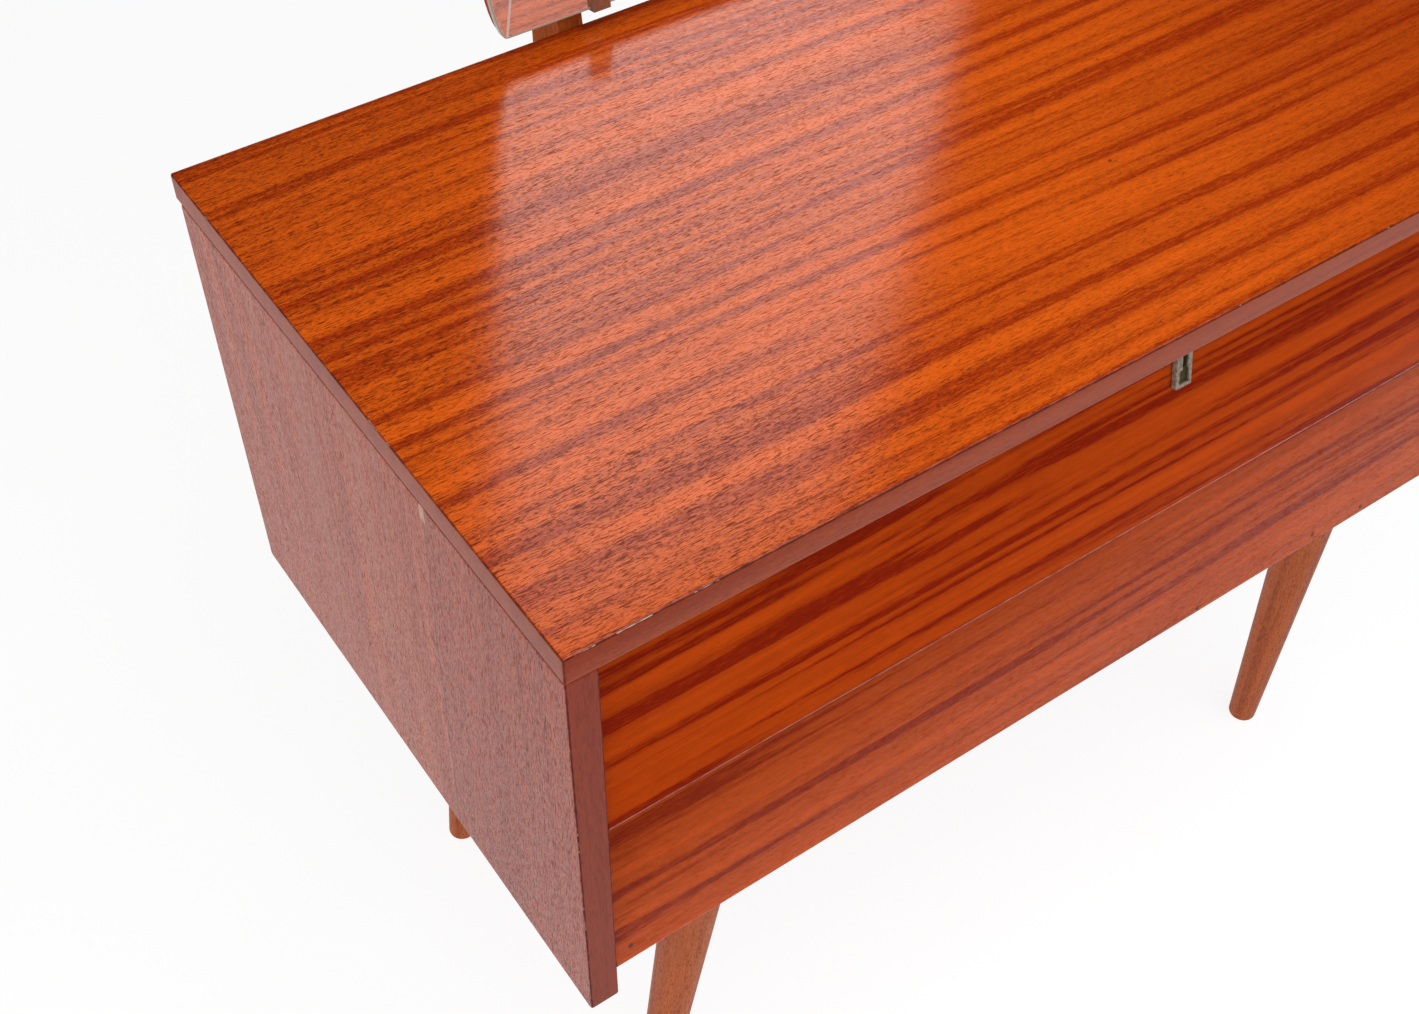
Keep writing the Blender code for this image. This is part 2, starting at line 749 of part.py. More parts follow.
def make_screw(name, x, z, boards, mats):
    """A round-headed wood screw driven forwards through an upright into its packer."""
    rear = UPRIGHT_FRONT_Y + UPRIGHT_DEEP + GAP
    tip = UPRIGHT_FRONT_Y - SCREW_GRIP
    profile = [(0, rear + SCREW_HEAD_TALL)]
    steps = 4
    for k in range(1, steps + 1):
        angle = math.pi / 2 * k / steps
        radius = SCREW_HEAD_RADIUS * math.sin(angle)
        profile.append((radius, rear + SCREW_HEAD_TALL * math.cos(angle)))
    profile += [(SCREW_SHANK, rear), (SCREW_SHANK, tip + SCREW_SHANK), (0, tip)]
    bm = bmesh.new()
    points = [bm.verts.new((r, y - rear, 0)) for r, y in profile]
    edges = [bm.edges.new(pair) for pair in zip(points, points[1:])]
    bmesh.ops.spin(
        bm,
        geom=points + edges,
        cent=(0, 0, 0),
        axis=(0, 1, 0),
        angle=2 * math.pi,
        steps=16,
    )
    bmesh.ops.remove_doubles(bm, verts=bm.verts, dist=0.00001)
    screw = add_object(name, mesh_from(bm, name), mats["steel"], (x, rear, z))
    shade_round(screw)
    deep = UPRIGHT_DEEP + 2 * SCREW_GRIP
    hole = cylinder(
        name + "_cutter",
        SCREW_SHANK + GAP,
        deep,
        (0, 1, 0),
        (x, rear + 0.001 - deep / 2, z),
        None,
        16,
    )
    for board in boards:
        cut(board, hole)


# ---------------------------------------------------------------- mirror
def make_mirror(uprights, mats):
    """Everything that tilts, parented to an empty on the tilt axis that leans back."""
    frame = empty("mirror_tilt_axis", (0, FRONT_Y + AXIS_DEPTH, AXIS_HEIGHT), -MIRROR_LEAN)
    low, high = -MIRROR_BELOW_AXIS, MIRROR_TALL - MIRROR_BELOW_AXIS
    make_board(frame, low, high, mats)
    make_glass(frame, low, high, mats)
    for side, sign in SIDES:
        make_clip("mirror_clip_lower_" + side, sign, low, -1, frame, mats)
        make_clip("mirror_clip_upper_" + side, sign, high, 1, frame, mats)
        make_buffer(side, sign, low, frame, mats)
        make_pivot(side, sign, uprights[side], frame, mats)


def tall_corners(outline, radius, low, high):
    """Round corners drawn out along Z, so that each side eases in before it turns the corner."""
    stretch = CORNER_TALL / radius
    drawn = []
    for x, z in outline:
        if z < low + radius + GAP:
            z = low + (z - low) * stretch
        elif z > high - radius - GAP:
            z = high - (high - z) * stretch
        drawn.append((x, z))
    return drawn


def make_board(frame, low, high, mats):
    half = MIRROR_WIDTH / 2 - BOARD_INSET
    low, high = low + BOARD_INSET, high - BOARD_INSET
    corners = [(-half, low), (half, low), (half, high), (-half, high)]
    arcs = rounded(corners, [BOARD_CORNER] * 4, CORNER_STEPS)
    outline = tall_corners(arcs, BOARD_CORNER, low, high)
    rear = -AXIS_OFFSET + MIRROR_BACK
    board = prism(
        "mirror_board",
        outline,
        rear - BOARD_THICK + GAP,
        rear,
        along_y,
        mats["mirror_wood"],
        parent=frame,
    )
    return soften(board, 0.0010, 1)


def make_glass(frame, low, high, mats):
    """Round-cornered glass with a facet down each side that runs out to nothing at the corners."""
    front = -AXIS_OFFSET
    half = MIRROR_WIDTH / 2
    field_x = half - FACET_WIDTH
    facet_low, facet_high = low + FACET_RUNOUT, high - FACET_RUNOUT
    bm = bmesh.new()

    def drop(x, z):
        """Depth of the facet below the front at a point on the outline."""
        if abs(x) < half - GLASS_CORNER + GAP:
            return 0
        start = Vector((half - GLASS_CORNER, 0))
        run = Vector((field_x, FACET_RUNOUT)) - start
        here = Vector((abs(x), min(z - low, high - z))) - start
        full = Vector((half, FACET_RUNOUT)) - start
        return FACET_DEPTH * min(1, here.cross(run) / full.cross(run))

    corners = [(-half, low), (half, low), (half, high), (-half, high)]
    arcs = rounded(corners, [GLASS_CORNER] * 4, CORNER_STEPS)
    arcs = tall_corners(arcs, GLASS_CORNER, low, high)
    per_corner = len(arcs) // 4
    right_arcs = arcs[per_corner : 3 * per_corner]
    front_ring = {}
    back_ring = {}
    field = {}
    for side, sign in SIDES:
        path = [(sign * abs(x), z) for x, z in right_arcs]
        path.insert(per_corner, (sign * half, facet_low))
        path.insert(per_corner + 1, (sign * half, facet_high))
        ring = [bm.verts.new((x, front + drop(x, z), z)) for x, z in path]
        rim = [bm.verts.new((x, front + GLASS_THICK, z)) for x, z in path]
        inner = [bm.verts.new((sign * field_x, front, z)) for z in (facet_low, facet_high)]
        for k in range(len(ring) - 1):
            bm.faces.new((ring[k], ring[k + 1], rim[k + 1], rim[k]))
        bm.faces.new([inner[0]] + ring[: per_corner + 1])
        bm.faces.new((inner[0], ring[per_corner], ring[per_corner + 1], inner[1]))
        bm.faces.new([inner[1]] + ring[per_corner + 1 :])
        front_ring[side], back_ring[side], field[side] = ring, rim, inner
    left, right = front_ring["left"], front_ring["right"]
    left_in, right_in = field["left"], field["right"]
    bm.faces.new(
        (left[0], right[0], *right_in, right[-1], left[-1], *reversed(left_in))
    )
    for end in (0, -1):
        back = (back_ring["right"][end], back_ring["left"][end])
        bm.faces.new((left[end], right[end], *back))
    bm.faces.new(back_ring["left"] + back_ring["right"][::-1])
    return add_object(
        "mirror_glass", mesh_from(bm, "mirror_glass"), mats["mirror_glass"], parent=frame
    )


def make_clip(name, sign, edge, outwards, frame, mats):
    """A small channel round the edge of the glass and board; outwards is 1 at the top, -1 below."""
    front = -AXIS_OFFSET - GAP
    rear = -AXIS_OFFSET + MIRROR_BACK + GAP
    seat = edge + outwards * GAP
    base = seat + outwards * CLIP_WALL
    tip = edge - outwards * CLIP_LIP
    outline = [
        (front - CLIP_FRONT, base),
        (rear + CLIP_WALL, base),
        (rear + CLIP_WALL, tip),
        (rear, tip),
        (rear, seat),
        (front, seat),
        (front, tip),
        (front - CLIP_FRONT, tip),
    ]
    outer = sign * (MIRROR_WIDTH / 2 - CLIP_INSET)
    inner = outer - sign * CLIP_WIDTH
    clip = prism(
        name, outline, outer, inner, along_x, mats["clip_bronze"], parent=frame
    )
    return soften(clip, CLIP_SOFT, 1)


def make_buffer(side, sign, low, frame, mats):
    """A felt disc on an upright, that the mirror leans against at rest; it doesn't tilt."""
    board_rear = -AXIS_OFFSET + MIRROR_BACK
    upright_front = -UPRIGHT_DEEP / 2
    height = low + BUFFER_ABOVE_LOW_EDGE
    middle = Vector((sign * UPRIGHT_MID_X, (board_rear + upright_front) / 2, height))
    thick = upright_front - board_rear - 2 * GAP
    placed = frame.matrix_basis @ middle
    axis = frame.matrix_basis.to_3x3() @ Vector((0, 1, 0))
    cylinder(
        "mirror_buffer_" + side, BUFFER_RADIUS, thick, axis, placed, mats["felt"], 20
    )


def make_pivot(side, sign, upright, frame, mats):
    """Bracket on the mirror board, and the bolt and cap nut that hold it to the upright."""
    ear_outer = UPRIGHT_OUTER_X - UPRIGHT_THICK - PIVOT_GAP
    board_rear = -AXIS_OFFSET + MIRROR_BACK + GAP
    profile = [
        (ear_outer, board_rear),
        (ear_outer - BRACKET_FOOT, board_rear),
        (ear_outer - BRACKET_FOOT, board_rear + BRACKET_WALL),
        (ear_outer - BRACKET_WALL, board_rear + BRACKET_WALL),
        (ear_outer - BRACKET_WALL, BRACKET_REACH),
        (ear_outer, BRACKET_REACH),
    ]
    profile = [(sign * x, y) for x, y in profile]
    bracket = prism(
        "pivot_bracket_" + side,
        profile,
        -BRACKET_HALF_TALL,
        BRACKET_HALF_TALL,
        along_z,
        mats["steel"],
        parent=frame,
    )
    axis_point = Vector((0, FRONT_Y + AXIS_DEPTH, AXIS_HEIGHT))
    shank_in = ear_outer - BRACKET_WALL - PIVOT_GAP
    shank_out = UPRIGHT_OUTER_X + PIVOT_STUD_PROUD
    make_pivot_bolt(side, sign, shank_in, shank_out, axis_point, mats)
    make_pivot_nut(side, sign, shank_out, axis_point, mats)
    bore = cylinder(
        "pivot_bore_cutter_" + side,
        PIVOT_RADIUS + PIVOT_PLAY,
        3 * UPRIGHT_THICK,
        (1, 0, 0),
        axis_point + Vector((sign * UPRIGHT_MID_X, 0, 0)),
        None,
    )
    cut(upright, bore)
    cut(bracket, bore)


def make_pivot_bolt(side, sign, shank_in, shank_out, axis_point, mats):
    head_radius, head_tall = PIVOT_HEAD
    profile = [
        (0, shank_in - head_tall),
        (head_radius * 0.75, shank_in - head_tall),
        (head_radius, shank_in - head_tall / 2),
        (head_radius, shank_in),
        (PIVOT_RADIUS, shank_in),
        (PIVOT_RADIUS, shank_out),
        (0, shank_out),
    ]
    turned("pivot_bolt_" + side, sign, profile, axis_point, mats["steel"])


def make_pivot_nut(side, sign, shank_out, axis_point, mats):
    """A domed cap nut on the bolt's outer end, hollow where the bolt stands in it."""
    radius, tall = PIVOT_NUT
    bore = PIVOT_RADIUS + PIVOT_PLAY
    face = UPRIGHT_OUTER_X + GAP
    straight = tall * 0.45
    profile = [(bore, face), (radius, face)]
    steps = 4
    for k in range(steps):
        angle = math.pi / 2 * k / steps
        rise = straight + (tall - straight) * math.sin(angle)
        profile.append((radius * math.cos(angle), face + rise))
    profile += [
        (0, face + tall),
        (0, shank_out + PIVOT_PLAY),
        (bore, shank_out + PIVOT_PLAY),
    ]
    turned("pivot_nut_" + side, sign, profile, axis_point, mats["brass"], closed=True)


def turned(name, sign, profile, origin, mat, closed=False):
    """A piece turned about the X axis from (radius, x) points; sign mirrors it to the left side."""
    bm = bmesh.new()
    points = [bm.verts.new((sign * x, 0, r)) for r, x in profile]
    pairs = list(zip(points, points[1:]))
    if closed:
        pairs.append((points[-1], points[0]))
    edges = [bm.edges.new(pair) for pair in pairs]
    bmesh.ops.spin(
        bm,
        geom=points + edges,
        cent=(0, 0, 0),
        axis=(1, 0, 0),
        angle=2 * math.pi,
        steps=24,
    )
    bmesh.ops.remove_doubles(bm, verts=bm.verts, dist=0.00001)
    loose = [e for e in bm.edges if not e.link_faces]
    bmesh.ops.delete(bm, geom=loose, context="EDGES")
    obj = add_object(name, mesh_from(bm, name), mat, origin)
    shade_round(obj)
    return obj


# ---------------------------------------------------------------- assembly
def build():
    clear_scene()
    mats = make_materials()
    top = make_top(mats)
    for side, sign in SIDES:
        make_side_panel("side_panel_" + side, sign, mats)
    make_inner_panels(mats)
    for side, sign in SIDES:
        upper = (UPPER_BOX_LOW + UPPER_BOX_TOP) / 2
        lower = (LOWER_BOX_LOW + LOWER_BOX_TOP) / 2
        make_runner("runner_upper_" + side, sign, upper, mats)
        make_runner("runner_lower_" + side, sign, lower, mats)
    drawer, front = make_drawer(
        "upper_drawer",
        UPPER_BOX_LOW,
        UPPER_BOX_TOP,
        UPPER_FRONT_LOW,
        UPPER_FRONT_TOP,
        mats,
    )
    make_drawer(
        "lower_drawer",
        LOWER_BOX_LOW,
        LOWER_BOX_TOP,
        LOWER_FRONT_LOW,
        LOWER_FRONT_TOP,
        mats,
    )
    make_lock(drawer, front, mats)
    make_strike(top, mats)
    make_leg_set(mats, bpy.data.objects["bottom_panel"])
    uprights = {side: make_upright(side, sign, mats) for side, sign in SIDES}
    make_mirror(uprights, mats)


build()
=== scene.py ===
"""Looks of the dressing table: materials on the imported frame, small fittings, studio and camera."""

import math

import bmesh
import bpy
from mathutils import Matrix, Vector


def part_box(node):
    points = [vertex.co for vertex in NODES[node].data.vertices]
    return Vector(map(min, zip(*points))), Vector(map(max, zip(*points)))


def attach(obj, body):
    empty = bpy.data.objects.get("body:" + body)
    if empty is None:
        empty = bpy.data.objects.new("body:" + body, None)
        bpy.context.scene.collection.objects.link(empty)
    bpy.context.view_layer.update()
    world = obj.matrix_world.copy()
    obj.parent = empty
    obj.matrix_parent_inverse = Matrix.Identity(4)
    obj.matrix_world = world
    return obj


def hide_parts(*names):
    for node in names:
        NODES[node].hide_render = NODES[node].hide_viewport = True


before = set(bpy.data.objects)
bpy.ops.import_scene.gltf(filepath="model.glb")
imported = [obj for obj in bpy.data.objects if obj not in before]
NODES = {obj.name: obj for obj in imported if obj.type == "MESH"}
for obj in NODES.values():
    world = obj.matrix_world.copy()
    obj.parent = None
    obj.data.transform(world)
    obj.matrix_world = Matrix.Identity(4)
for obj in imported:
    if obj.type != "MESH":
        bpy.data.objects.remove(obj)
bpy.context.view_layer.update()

SIDES = (("left", -1), ("right", 1))
DRAWERS = ("upper", "lower")
CORNERS = tuple(row + "_" + side for row in ("front", "back") for side, _ in SIDES)

# places read from the frame
TOP_LOW, TOP_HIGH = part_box("top_panel")
GLASS_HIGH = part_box("mirror_glass")[1]
FRONT_SLANT = math.radians(12)
MIRROR_LEAN = math.radians(9)
LEAN_UP = Vector((0, math.sin(MIRROR_LEAN), math.cos(MIRROR_LEAN)))
LEAN_BACK = Vector((0, math.cos(MIRROR_LEAN), -math.sin(MIRROR_LEAN)))
FRONT_UP = Vector((0, math.sin(FRONT_SLANT), math.cos(FRONT_SLANT)))
FRONT_INTO = Vector((0, math.cos(FRONT_SLANT), -math.sin(FRONT_SLANT)))

# the glass: how far its sides ease in and over what height, and the facet along each side
GLASS_CORNER = (0.008, 0.046)
FACET_WIDTH = 0.022
FACET_RUNOUT = 0.052

# a side's veneer seam: its depth from the top's front edge, and how it slopes back on its way down
SEAM_DEPTH = 0.1295
SEAM_SLOPE = 0.065

# small marks on the top: distance from the left edge, from the front edge, and radius
TOP_MARKS = ((0.154, 0.164, 0.0011), (0.241, 0.037, 0.0009), (0.446, 0.131, 0.0013))

# filled nail holes: distance from the top's left edge, and below the top surface
PLUGS = ((0.030, 0.282), (0.471, 0.289), (0.580, 0.286), (0.628, 0.2875))

# edges that turn more than this stay sharp
SHARP_ANGLE = math.radians(32)

# puts one of a board's edges so far away that it gets no dark line or chips
SHELTERED = Vector((0, 0, 1))

# wood: tones of the top, the fronts and the bare beech, and how closely the ribbons lie across the grain
ORANGE = (0.57, 0.086, 0.004)
RED = (0.35, 0.032, 0.002)
DEEP = (0.13, 0.014, 0.003)
RIBBONS = 105
BEECH_LIGHT = (0.60, 0.42, 0.25)
BEECH_DARK = (0.48, 0.31, 0.17)

# heads of the fittings: radius and rise above the surface they sit on
SUNK = 0.0008
LEG_SCREW = (0.0042, 0.0009)
BRACKET_SCREW = (0.0034, 0.0014)
LOCK_SCREW = (0.0029, 0.0010)
STRIKE_SCREW = (0.0027, 0.00025)
RUNNER_SCREW = (0.0034, 0.00016)
DRAWER_NAIL = (0.0015, 0.0002)
BOTTOM_TACK = (0.0020, 0.0004)
BACK_TACK = (0.0028, 0.0009)
FRONT_PLUG = (0.0017, 0.00012)

# where the fittings sit
LEG_SCREW_INSET = 0.009
UPRIGHT_HEAD_TALL = 0.0028
UPRIGHT_SHANK = 0.0021
BRACKET_FOOT_THICK = 0.0025
BRACKET_FOOT_SHIFT = 0.0035
BRACKET_SCREW_RISES = (0.009, -0.009)
WASHER_RADII = (0.0034, 0.0068)
WASHER_THICK = 0.0006
LOCK_SCREW_INSET = 0.005
LOCK_SCREW_RISES = (-0.0145, 0.0065)
PIN_RADII = (0.0004, 0.0011)
PIN_HALF = 0.004
PIN_RISE = 0.0145
PIN_DEPTH = 0.0105
PIN_SHIFT = -0.0012
RUNNER_SCREW_INSET = 0.04
BACK_TACK_INSET = 0.008

# studio
FLOOR_HALF = 9.0
SOFTBOX_SIZE = (3.9, 3.8)
SOFTBOX_PLACE = (-0.25, -1.7, 2.6)
SOFTBOX_RADIANCE = 2.05
FLAG_FADE = 0.26
FLAG_FAR = 5.0
FLAG_HALF_WIDE = 6.0

# camera: angles, focal length, and its place from the top's front left corner
CAMERA_YAW = math.radians(35.33)
CAMERA_PITCH = math.radians(47.18)
CAMERA_ROLL = math.radians(0.68)
CAMERA_LENS = 45.18
CAMERA_FROM_CORNER = Vector((-0.2216, -0.4206, 0.6080))


def middle_of(name):
    low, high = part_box(name)
    return (low + high) / 2


def reach(name, direction):
    """How far a CAD node reaches along a direction from the frame's origin."""
    return max(v.co.dot(direction) for v in NODES[name].data.vertices)


# ---------------------------------------------------------------- node trees
def node(tree, kind, inputs=None, **settings):
    """A new node with its settings, each input set to a value or linked to a socket."""
    made = tree.nodes.new(kind)
    for key, value in settings.items():
        setattr(made, key, value)
    for key, value in (inputs or {}).items():
        if isinstance(value, bpy.types.NodeSocket):
            tree.links.new(value, made.inputs[key])
        else:
            made.inputs[key].default_value = value
    return made


def coords(tree, output="Object"):
    return node(tree, "ShaderNodeTexCoord").outputs[output]


def stretched(tree, vector, scale, shift=(0, 0, 0)):
    return node(
        tree, "ShaderNodeMapping", {"Vector": vector, "Scale": scale, "Location": shift}
    ).outputs[0]


def noise(tree, vector, scale=1.0, detail=2.0, rough=0.5, warp=0.0):
    made = node(
        tree,
        "ShaderNodeTexNoise",
        {
            "Vector": vector,
            "Scale": scale,
            "Detail": detail,
            "Roughness": rough,
            "Distortion": warp,
        },
    )
    return made.outputs["Fac"]


def span(tree, value, low, high, to_low=0.0, to_high=1.0):
    """The value mapped smoothly from low..high onto to_low..to_high, and held there."""
    made = node(
        tree,
        "ShaderNodeMapRange",
        {
            "Value": value,
            "From Min": low,
            "From Max": high,
            "To Min": to_low,
            "To Max": to_high,
        },
        interpolation_type="SMOOTHSTEP",
    )
    return made.outputs[0]


def maths(tree, operation, first, second=0.0, clamp=False):
    made = node(
        tree,
        "ShaderNodeMath",
        {0: first, 1: second},
        operation=operation,
        use_clamp=clamp,
    )
    return made.outputs[0]


def times(tree, first, second):
    return maths(tree, "MULTIPLY", first, second)


def plus(tree, first, second):
    return maths(tree, "ADD", first, second)


def minus(tree, first, second):
    return maths(tree, "SUBTRACT", first, second)


def absolute(tree, value):
    return maths(tree, "ABSOLUTE", value)


def distance_along(tree, direction, output="Object"):
    """How far a surface point, or its normal, reaches along a direction."""
    inputs = {0: coords(tree, output), 1: direction}
    return node(tree, "ShaderNodeVectorMath", inputs, operation="DOT_PRODUCT").outputs["Value"]


def blend(tree, share, first, second):
    """first where share is 0, second where it is 1, each a colour or a socket."""
    made = node(tree, "ShaderNodeMix", data_type="RGBA", blend_type="MIX")
    for key, value in ((0, share), (6, first), (7, second)):
        if isinstance(value, bpy.types.NodeSocket):
            tree.links.new(value, made.inputs[key])
        elif key == 0:
            made.inputs[key].default_value = value
        else:
            made.inputs[key].default_value = (*value, 1)
    return made.outputs[2]


def blend_value(tree, share, first, second):
    """first where share is 0, second where it is 1."""
    made = node(tree, "ShaderNodeMix", {0: share, 2: first, 3: second}, data_type="FLOAT")
    return made.outputs[0]


def split(tree, vector):
    return node(tree, "ShaderNodeSeparateXYZ", {0: vector}).outputs


def new_material(name):
    mat = bpy.data.materials.new(name)
    mat.use_nodes = True
    tree = mat.node_tree
    return mat, tree, tree.nodes["Principled BSDF"]


def feed(tree, shader, **inputs):
    """Sets or links shader sockets; an underscore in a name stands for a space."""
    for key, value in inputs.items():
        socket = shader.inputs[key.replace("_", " ")]
        if isinstance(value, bpy.types.NodeSocket):
            tree.links.new(value, socket)
        else:
            socket.default_value = value


def bump(tree, height, strength, distance):
    return node(
        tree,
        "ShaderNodeBump",
        {"Height": height, "Strength": strength, "Distance": distance},
    ).outputs[0]


# ---------------------------------------------------------------- wood
def grain_space(tree, along, seed):
    """Coordinates in metres whose X runs along the grain."""
    turn = Vector(along).to_track_quat("X", "Z").inverted().to_euler()
    mapped = node(
        tree,
        "ShaderNodeMapping",
        {"Vector": coords(tree), "Rotation": turn, "Location": (seed * 1.7, seed * 0.9, seed * 0.4)},
    )
    return mapped.outputs[0]


def edge_distance(tree, low, high):
    """Metres from a point on a box-shaped board's surface to the board's nearest edge."""
    gaps = []
    for axis, place in enumerate(split(tree, coords(tree))):
        middle, half = (low[axis] + high[axis]) / 2, (high[axis] - low[axis]) / 2
        off = absolute(tree, minus(tree, place, middle))
        gaps.append(minus(tree, half, off))
    near = maths(tree, "MINIMUM", gaps[0], gaps[1])
    far = maths(tree, "MAXIMUM", gaps[0], gaps[1])
    return maths(tree, "MAXIMUM", near, maths(tree, "MINIMUM", far, gaps[2]))


def across_mask(tree, axis):
    """1 where the surface faces along an axis, 0 on a board's edges."""
    facing = absolute(tree, split(tree, coords(tree, "Normal"))[axis])
    return span(tree, facing, 0.70, 0.80)


def edge_line_chips_and_highlight(tree, colour, low, high, chips_above):
    """The colour with a thin dark line along a board's edges and pale, drawn-out chips on them; the chips
    are chipped lacquer and, along the front arris, also a painted broken highlight.
    """
    away = edge_distance(tree, low, high)
    rough = noise(tree, coords(tree), 130, 2, 0.6)
    long = noise(tree, stretched(tree, coords(tree), (38, 38, 38), (3, 1, 2)), 1, 3, 0.75)
    away = plus(tree, away, times(tree, minus(tree, rough, 0.5), 0.0011))
    line = span(tree, away, 0.0004, 0.0012, 1, 0)
    sheltered = span(tree, split(tree, coords(tree))[0], TOP_LOW.x + 0.13, TOP_LOW.x + 0.20, 0, 0.07)
    worn = span(tree, minus(tree, long, sheltered), chips_above, chips_above + 0.03)
    chip = times(tree, span(tree, away, 0.0003, 0.0007, 1, 0), worn)
    colour = blend(tree, times(tree, line, 0.80), colour, (0.050, 0.010, 0.008))
    # pale chips: chipped lacquer, which along the front arris also stand in for a painted broken highlight
    return blend(tree, times(tree, chip, 0.85), colour, (0.55, 0.40, 0.34)), line


def drifting_grain(tree, along, seed):
    """Grain coordinates that wander a little, so that the stripes are not ruled lines."""
    grain = grain_space(tree, along, seed)
    drift = noise(tree, stretched(tree, grain, (1.3, 7, 7)), 1, 1)
    offset = node(tree, "ShaderNodeCombineXYZ", {1: times(tree, drift, 0.045), 2: times(tree, drift, 0.02)})
    moved = {0: grain, 1: offset.outputs[0]}
    return node(tree, "ShaderNodeVectorMath", moved, operation="ADD").outputs[0]


def ribbon_bands(tree, grain):
    """Narrow ribbons over broad ones, with feathered borders: high where the wood is dark."""
    broad = noise(tree, stretched(tree, grain, (0.7, 20, 20)), 1, 1, 0.5)
    narrow = noise(tree, stretched(tree, grain, (1.1, RIBBONS, RIBBONS)), 1, 2, 0.6)
    feather = noise(tree, stretched(tree, grain, (70, 600, 600)), 1, 2, 0.6)
    band = plus(tree, times(tree, narrow, 0.86), times(tree, broad, 0.14))
    return plus(tree, band, times(tree, minus(tree, feather, 0.5), 0.12))


def veneer_colour(tree, grain, marks, tones, look):
    """Stripes, mottle and fibres between the light and dark tones, flecks and pores in the deep one."""
    pores, flecks, fibre = marks
    light, dark, deep = tones
    stripe = look.get("stripe", 1.0)
    pore = look.get("pore", 1.0)
    if "coarse_end" in look:
        far = split(tree, coords(tree))[0]
        pore = span(tree, far, look["coarse_end"], look["coarse_end"] + 0.35, 1.7 * pore, pore)
    band = ribbon_bands(tree, grain)
    mottle = noise(tree, stretched(tree, grain, (22, 55, 55), (9, 2, 4)), 1, 3, 0.6)
    bright = [min(1, c * 1.35) for c in light]
    dark_band = maths(tree, "MULTIPLY", span(tree, band, 0.47, 0.60), stripe, True)
    colour = blend(tree, dark_band, light, dark)
    colour = blend(tree, times(tree, span(tree, band, 0.47, 0.36), 0.55 * stripe), colour, bright)
    colour = blend(tree, times(tree, span(tree, mottle, 0.42, 0.72), 0.20), colour, dark)
    glow = times(tree, span(tree, fibre, 0.48, 0.64), look.get("fibre", 0.42))
    colour = blend(tree, glow, colour, bright)
    fleck_share = times(tree, flecks, span(tree, band, 0.38, 0.60, 0.24, 0.46))
    colour = blend(tree, times(tree, fleck_share, pore), colour, deep)
    return blend(tree, times(tree, pores, times(tree, pore, 0.5)), colour, deep)


def board_edges(tree, colour, coat, look):
    """The colour and coat with a board's own edges, darkened as painted shade, its dark-lined, chipped
    arrises, and a painted highlight along its lower arris.
    """
    if "across" in look:
        edge = span(tree, across_mask(tree, look["across"]), 0, 1, 1, 0)
        # the edges' plain, grainless tone, set darker as painted shade where the lamps light the
        # front-facing edges too strongly
        colour = blend(tree, times(tree, edge, 0.72), colour, look["edge_tone"])
        coat = blend_value(tree, edge, coat, look["edge_coat"])
    if "board" in look:
        colour, line = edge_line_chips_and_highlight(tree, colour, *look["board"], look["chips"])
        coat = times(tree, coat, span(tree, line, 0, 1, 1, 0.30))
    # painted highlight: a pale line along the top's lower arris
    if "pale_below" in look:
        above = minus(tree, split(tree, coords(tree))[2], look["pale_below"])
        colour = blend(tree, span(tree, above, 0.0004, 0.0010, 0.5, 0), colour, (0.50, 0.26, 0.19))
    return colour, coat


def wood(name, along, light, dark, deep, **look):
    """Lacquered ribbon-stripe veneer: stripes, flecks, pores and fibres along the grain."""
    mat, tree, shader = new_material(name)
    grain = drifting_grain(tree, along, look.get("seed", 0.0))
    fleck = noise(tree, stretched(tree, grain, (330, 1300, 1300)), 1, 2, 0.7)
    hair = noise(tree, stretched(tree, grain, (130, 1500, 1500), (3, 5, 7)), 1, 2, 0.6)
    fibre = noise(tree, stretched(tree, grain, (80, 900, 900), (6, 1, 8)), 1, 3, 0.7)
    pores = span(tree, hair, 0.56, 0.62)
    flecks = span(tree, fleck, 0.50, 0.60)
    colour = veneer_colour(tree, grain, (pores, flecks, fibre), (light, dark, deep), look)
    if "tint" in look:
        colour = look["tint"](tree, colour)
    broken = maths(tree, "MAXIMUM", pores, times(tree, flecks, 0.7))
    coat = times(tree, span(tree, broken, 0, 1, 1.12, 0.36), look.get("coat", 1.0))
    colour, coat = board_edges(tree, colour, coat, look)
    height = minus(tree, 1.0, times(tree, pores, 0.8))
    height = plus(tree, height, times(tree, fibre, 0.25))
    smear = noise(tree, stretched(tree, coords(tree), (11, 11, 11)), 1, 3, 0.6)
    feed(
        tree,
        shader,
        Base_Color=colour,
        Roughness=span(tree, fibre, 0.2, 0.8, 0.42, 0.58),
        Specular_IOR_Level=0.0,
        Coat_Weight=coat,
        Coat_Roughness=look.get("gloss", 0.20),
        Normal=bump(tree, height, 0.25, 0.0004),
        Coat_Normal=bump(tree, smear, 0.05, 0.0006),
    )
    return mat


def plain_wood(name, along, light, dark, seed=0.0, rough=0.6):
    """Bare, planed wood with fine short rays."""
    mat, tree, shader = new_material(name)
    grain = grain_space(tree, along, seed)
    wide = noise(tree, stretched(tree, grain, (1.5, 28, 28)), 1, 3, 0.6, 0.2)
    ray = noise(tree, stretched(tree, grain, (240, 900, 900)), 1, 1, 0.5)
    fibre = noise(tree, stretched(tree, grain, (16, 700, 700)), 1, 3, 0.7)
    colour = blend(tree, span(tree, wide, 0.35, 0.65), light, dark)
    rays = times(tree, span(tree, ray, 0.62, 0.72), 0.5)
    colour = blend(tree, rays, colour, [c * 0.55 for c in dark])
    colour = blend(tree, times(tree, fibre, 0.25), colour, dark)
    feed(
        tree,
        shader,
        Base_Color=colour,
        Roughness=span(tree, fibre, 0.2, 0.8, rough - 0.08, rough + 0.1),
        Specular_IOR_Level=0.35,
        Normal=bump(tree, fibre, 0.25, 0.0004),
    )
    return mat


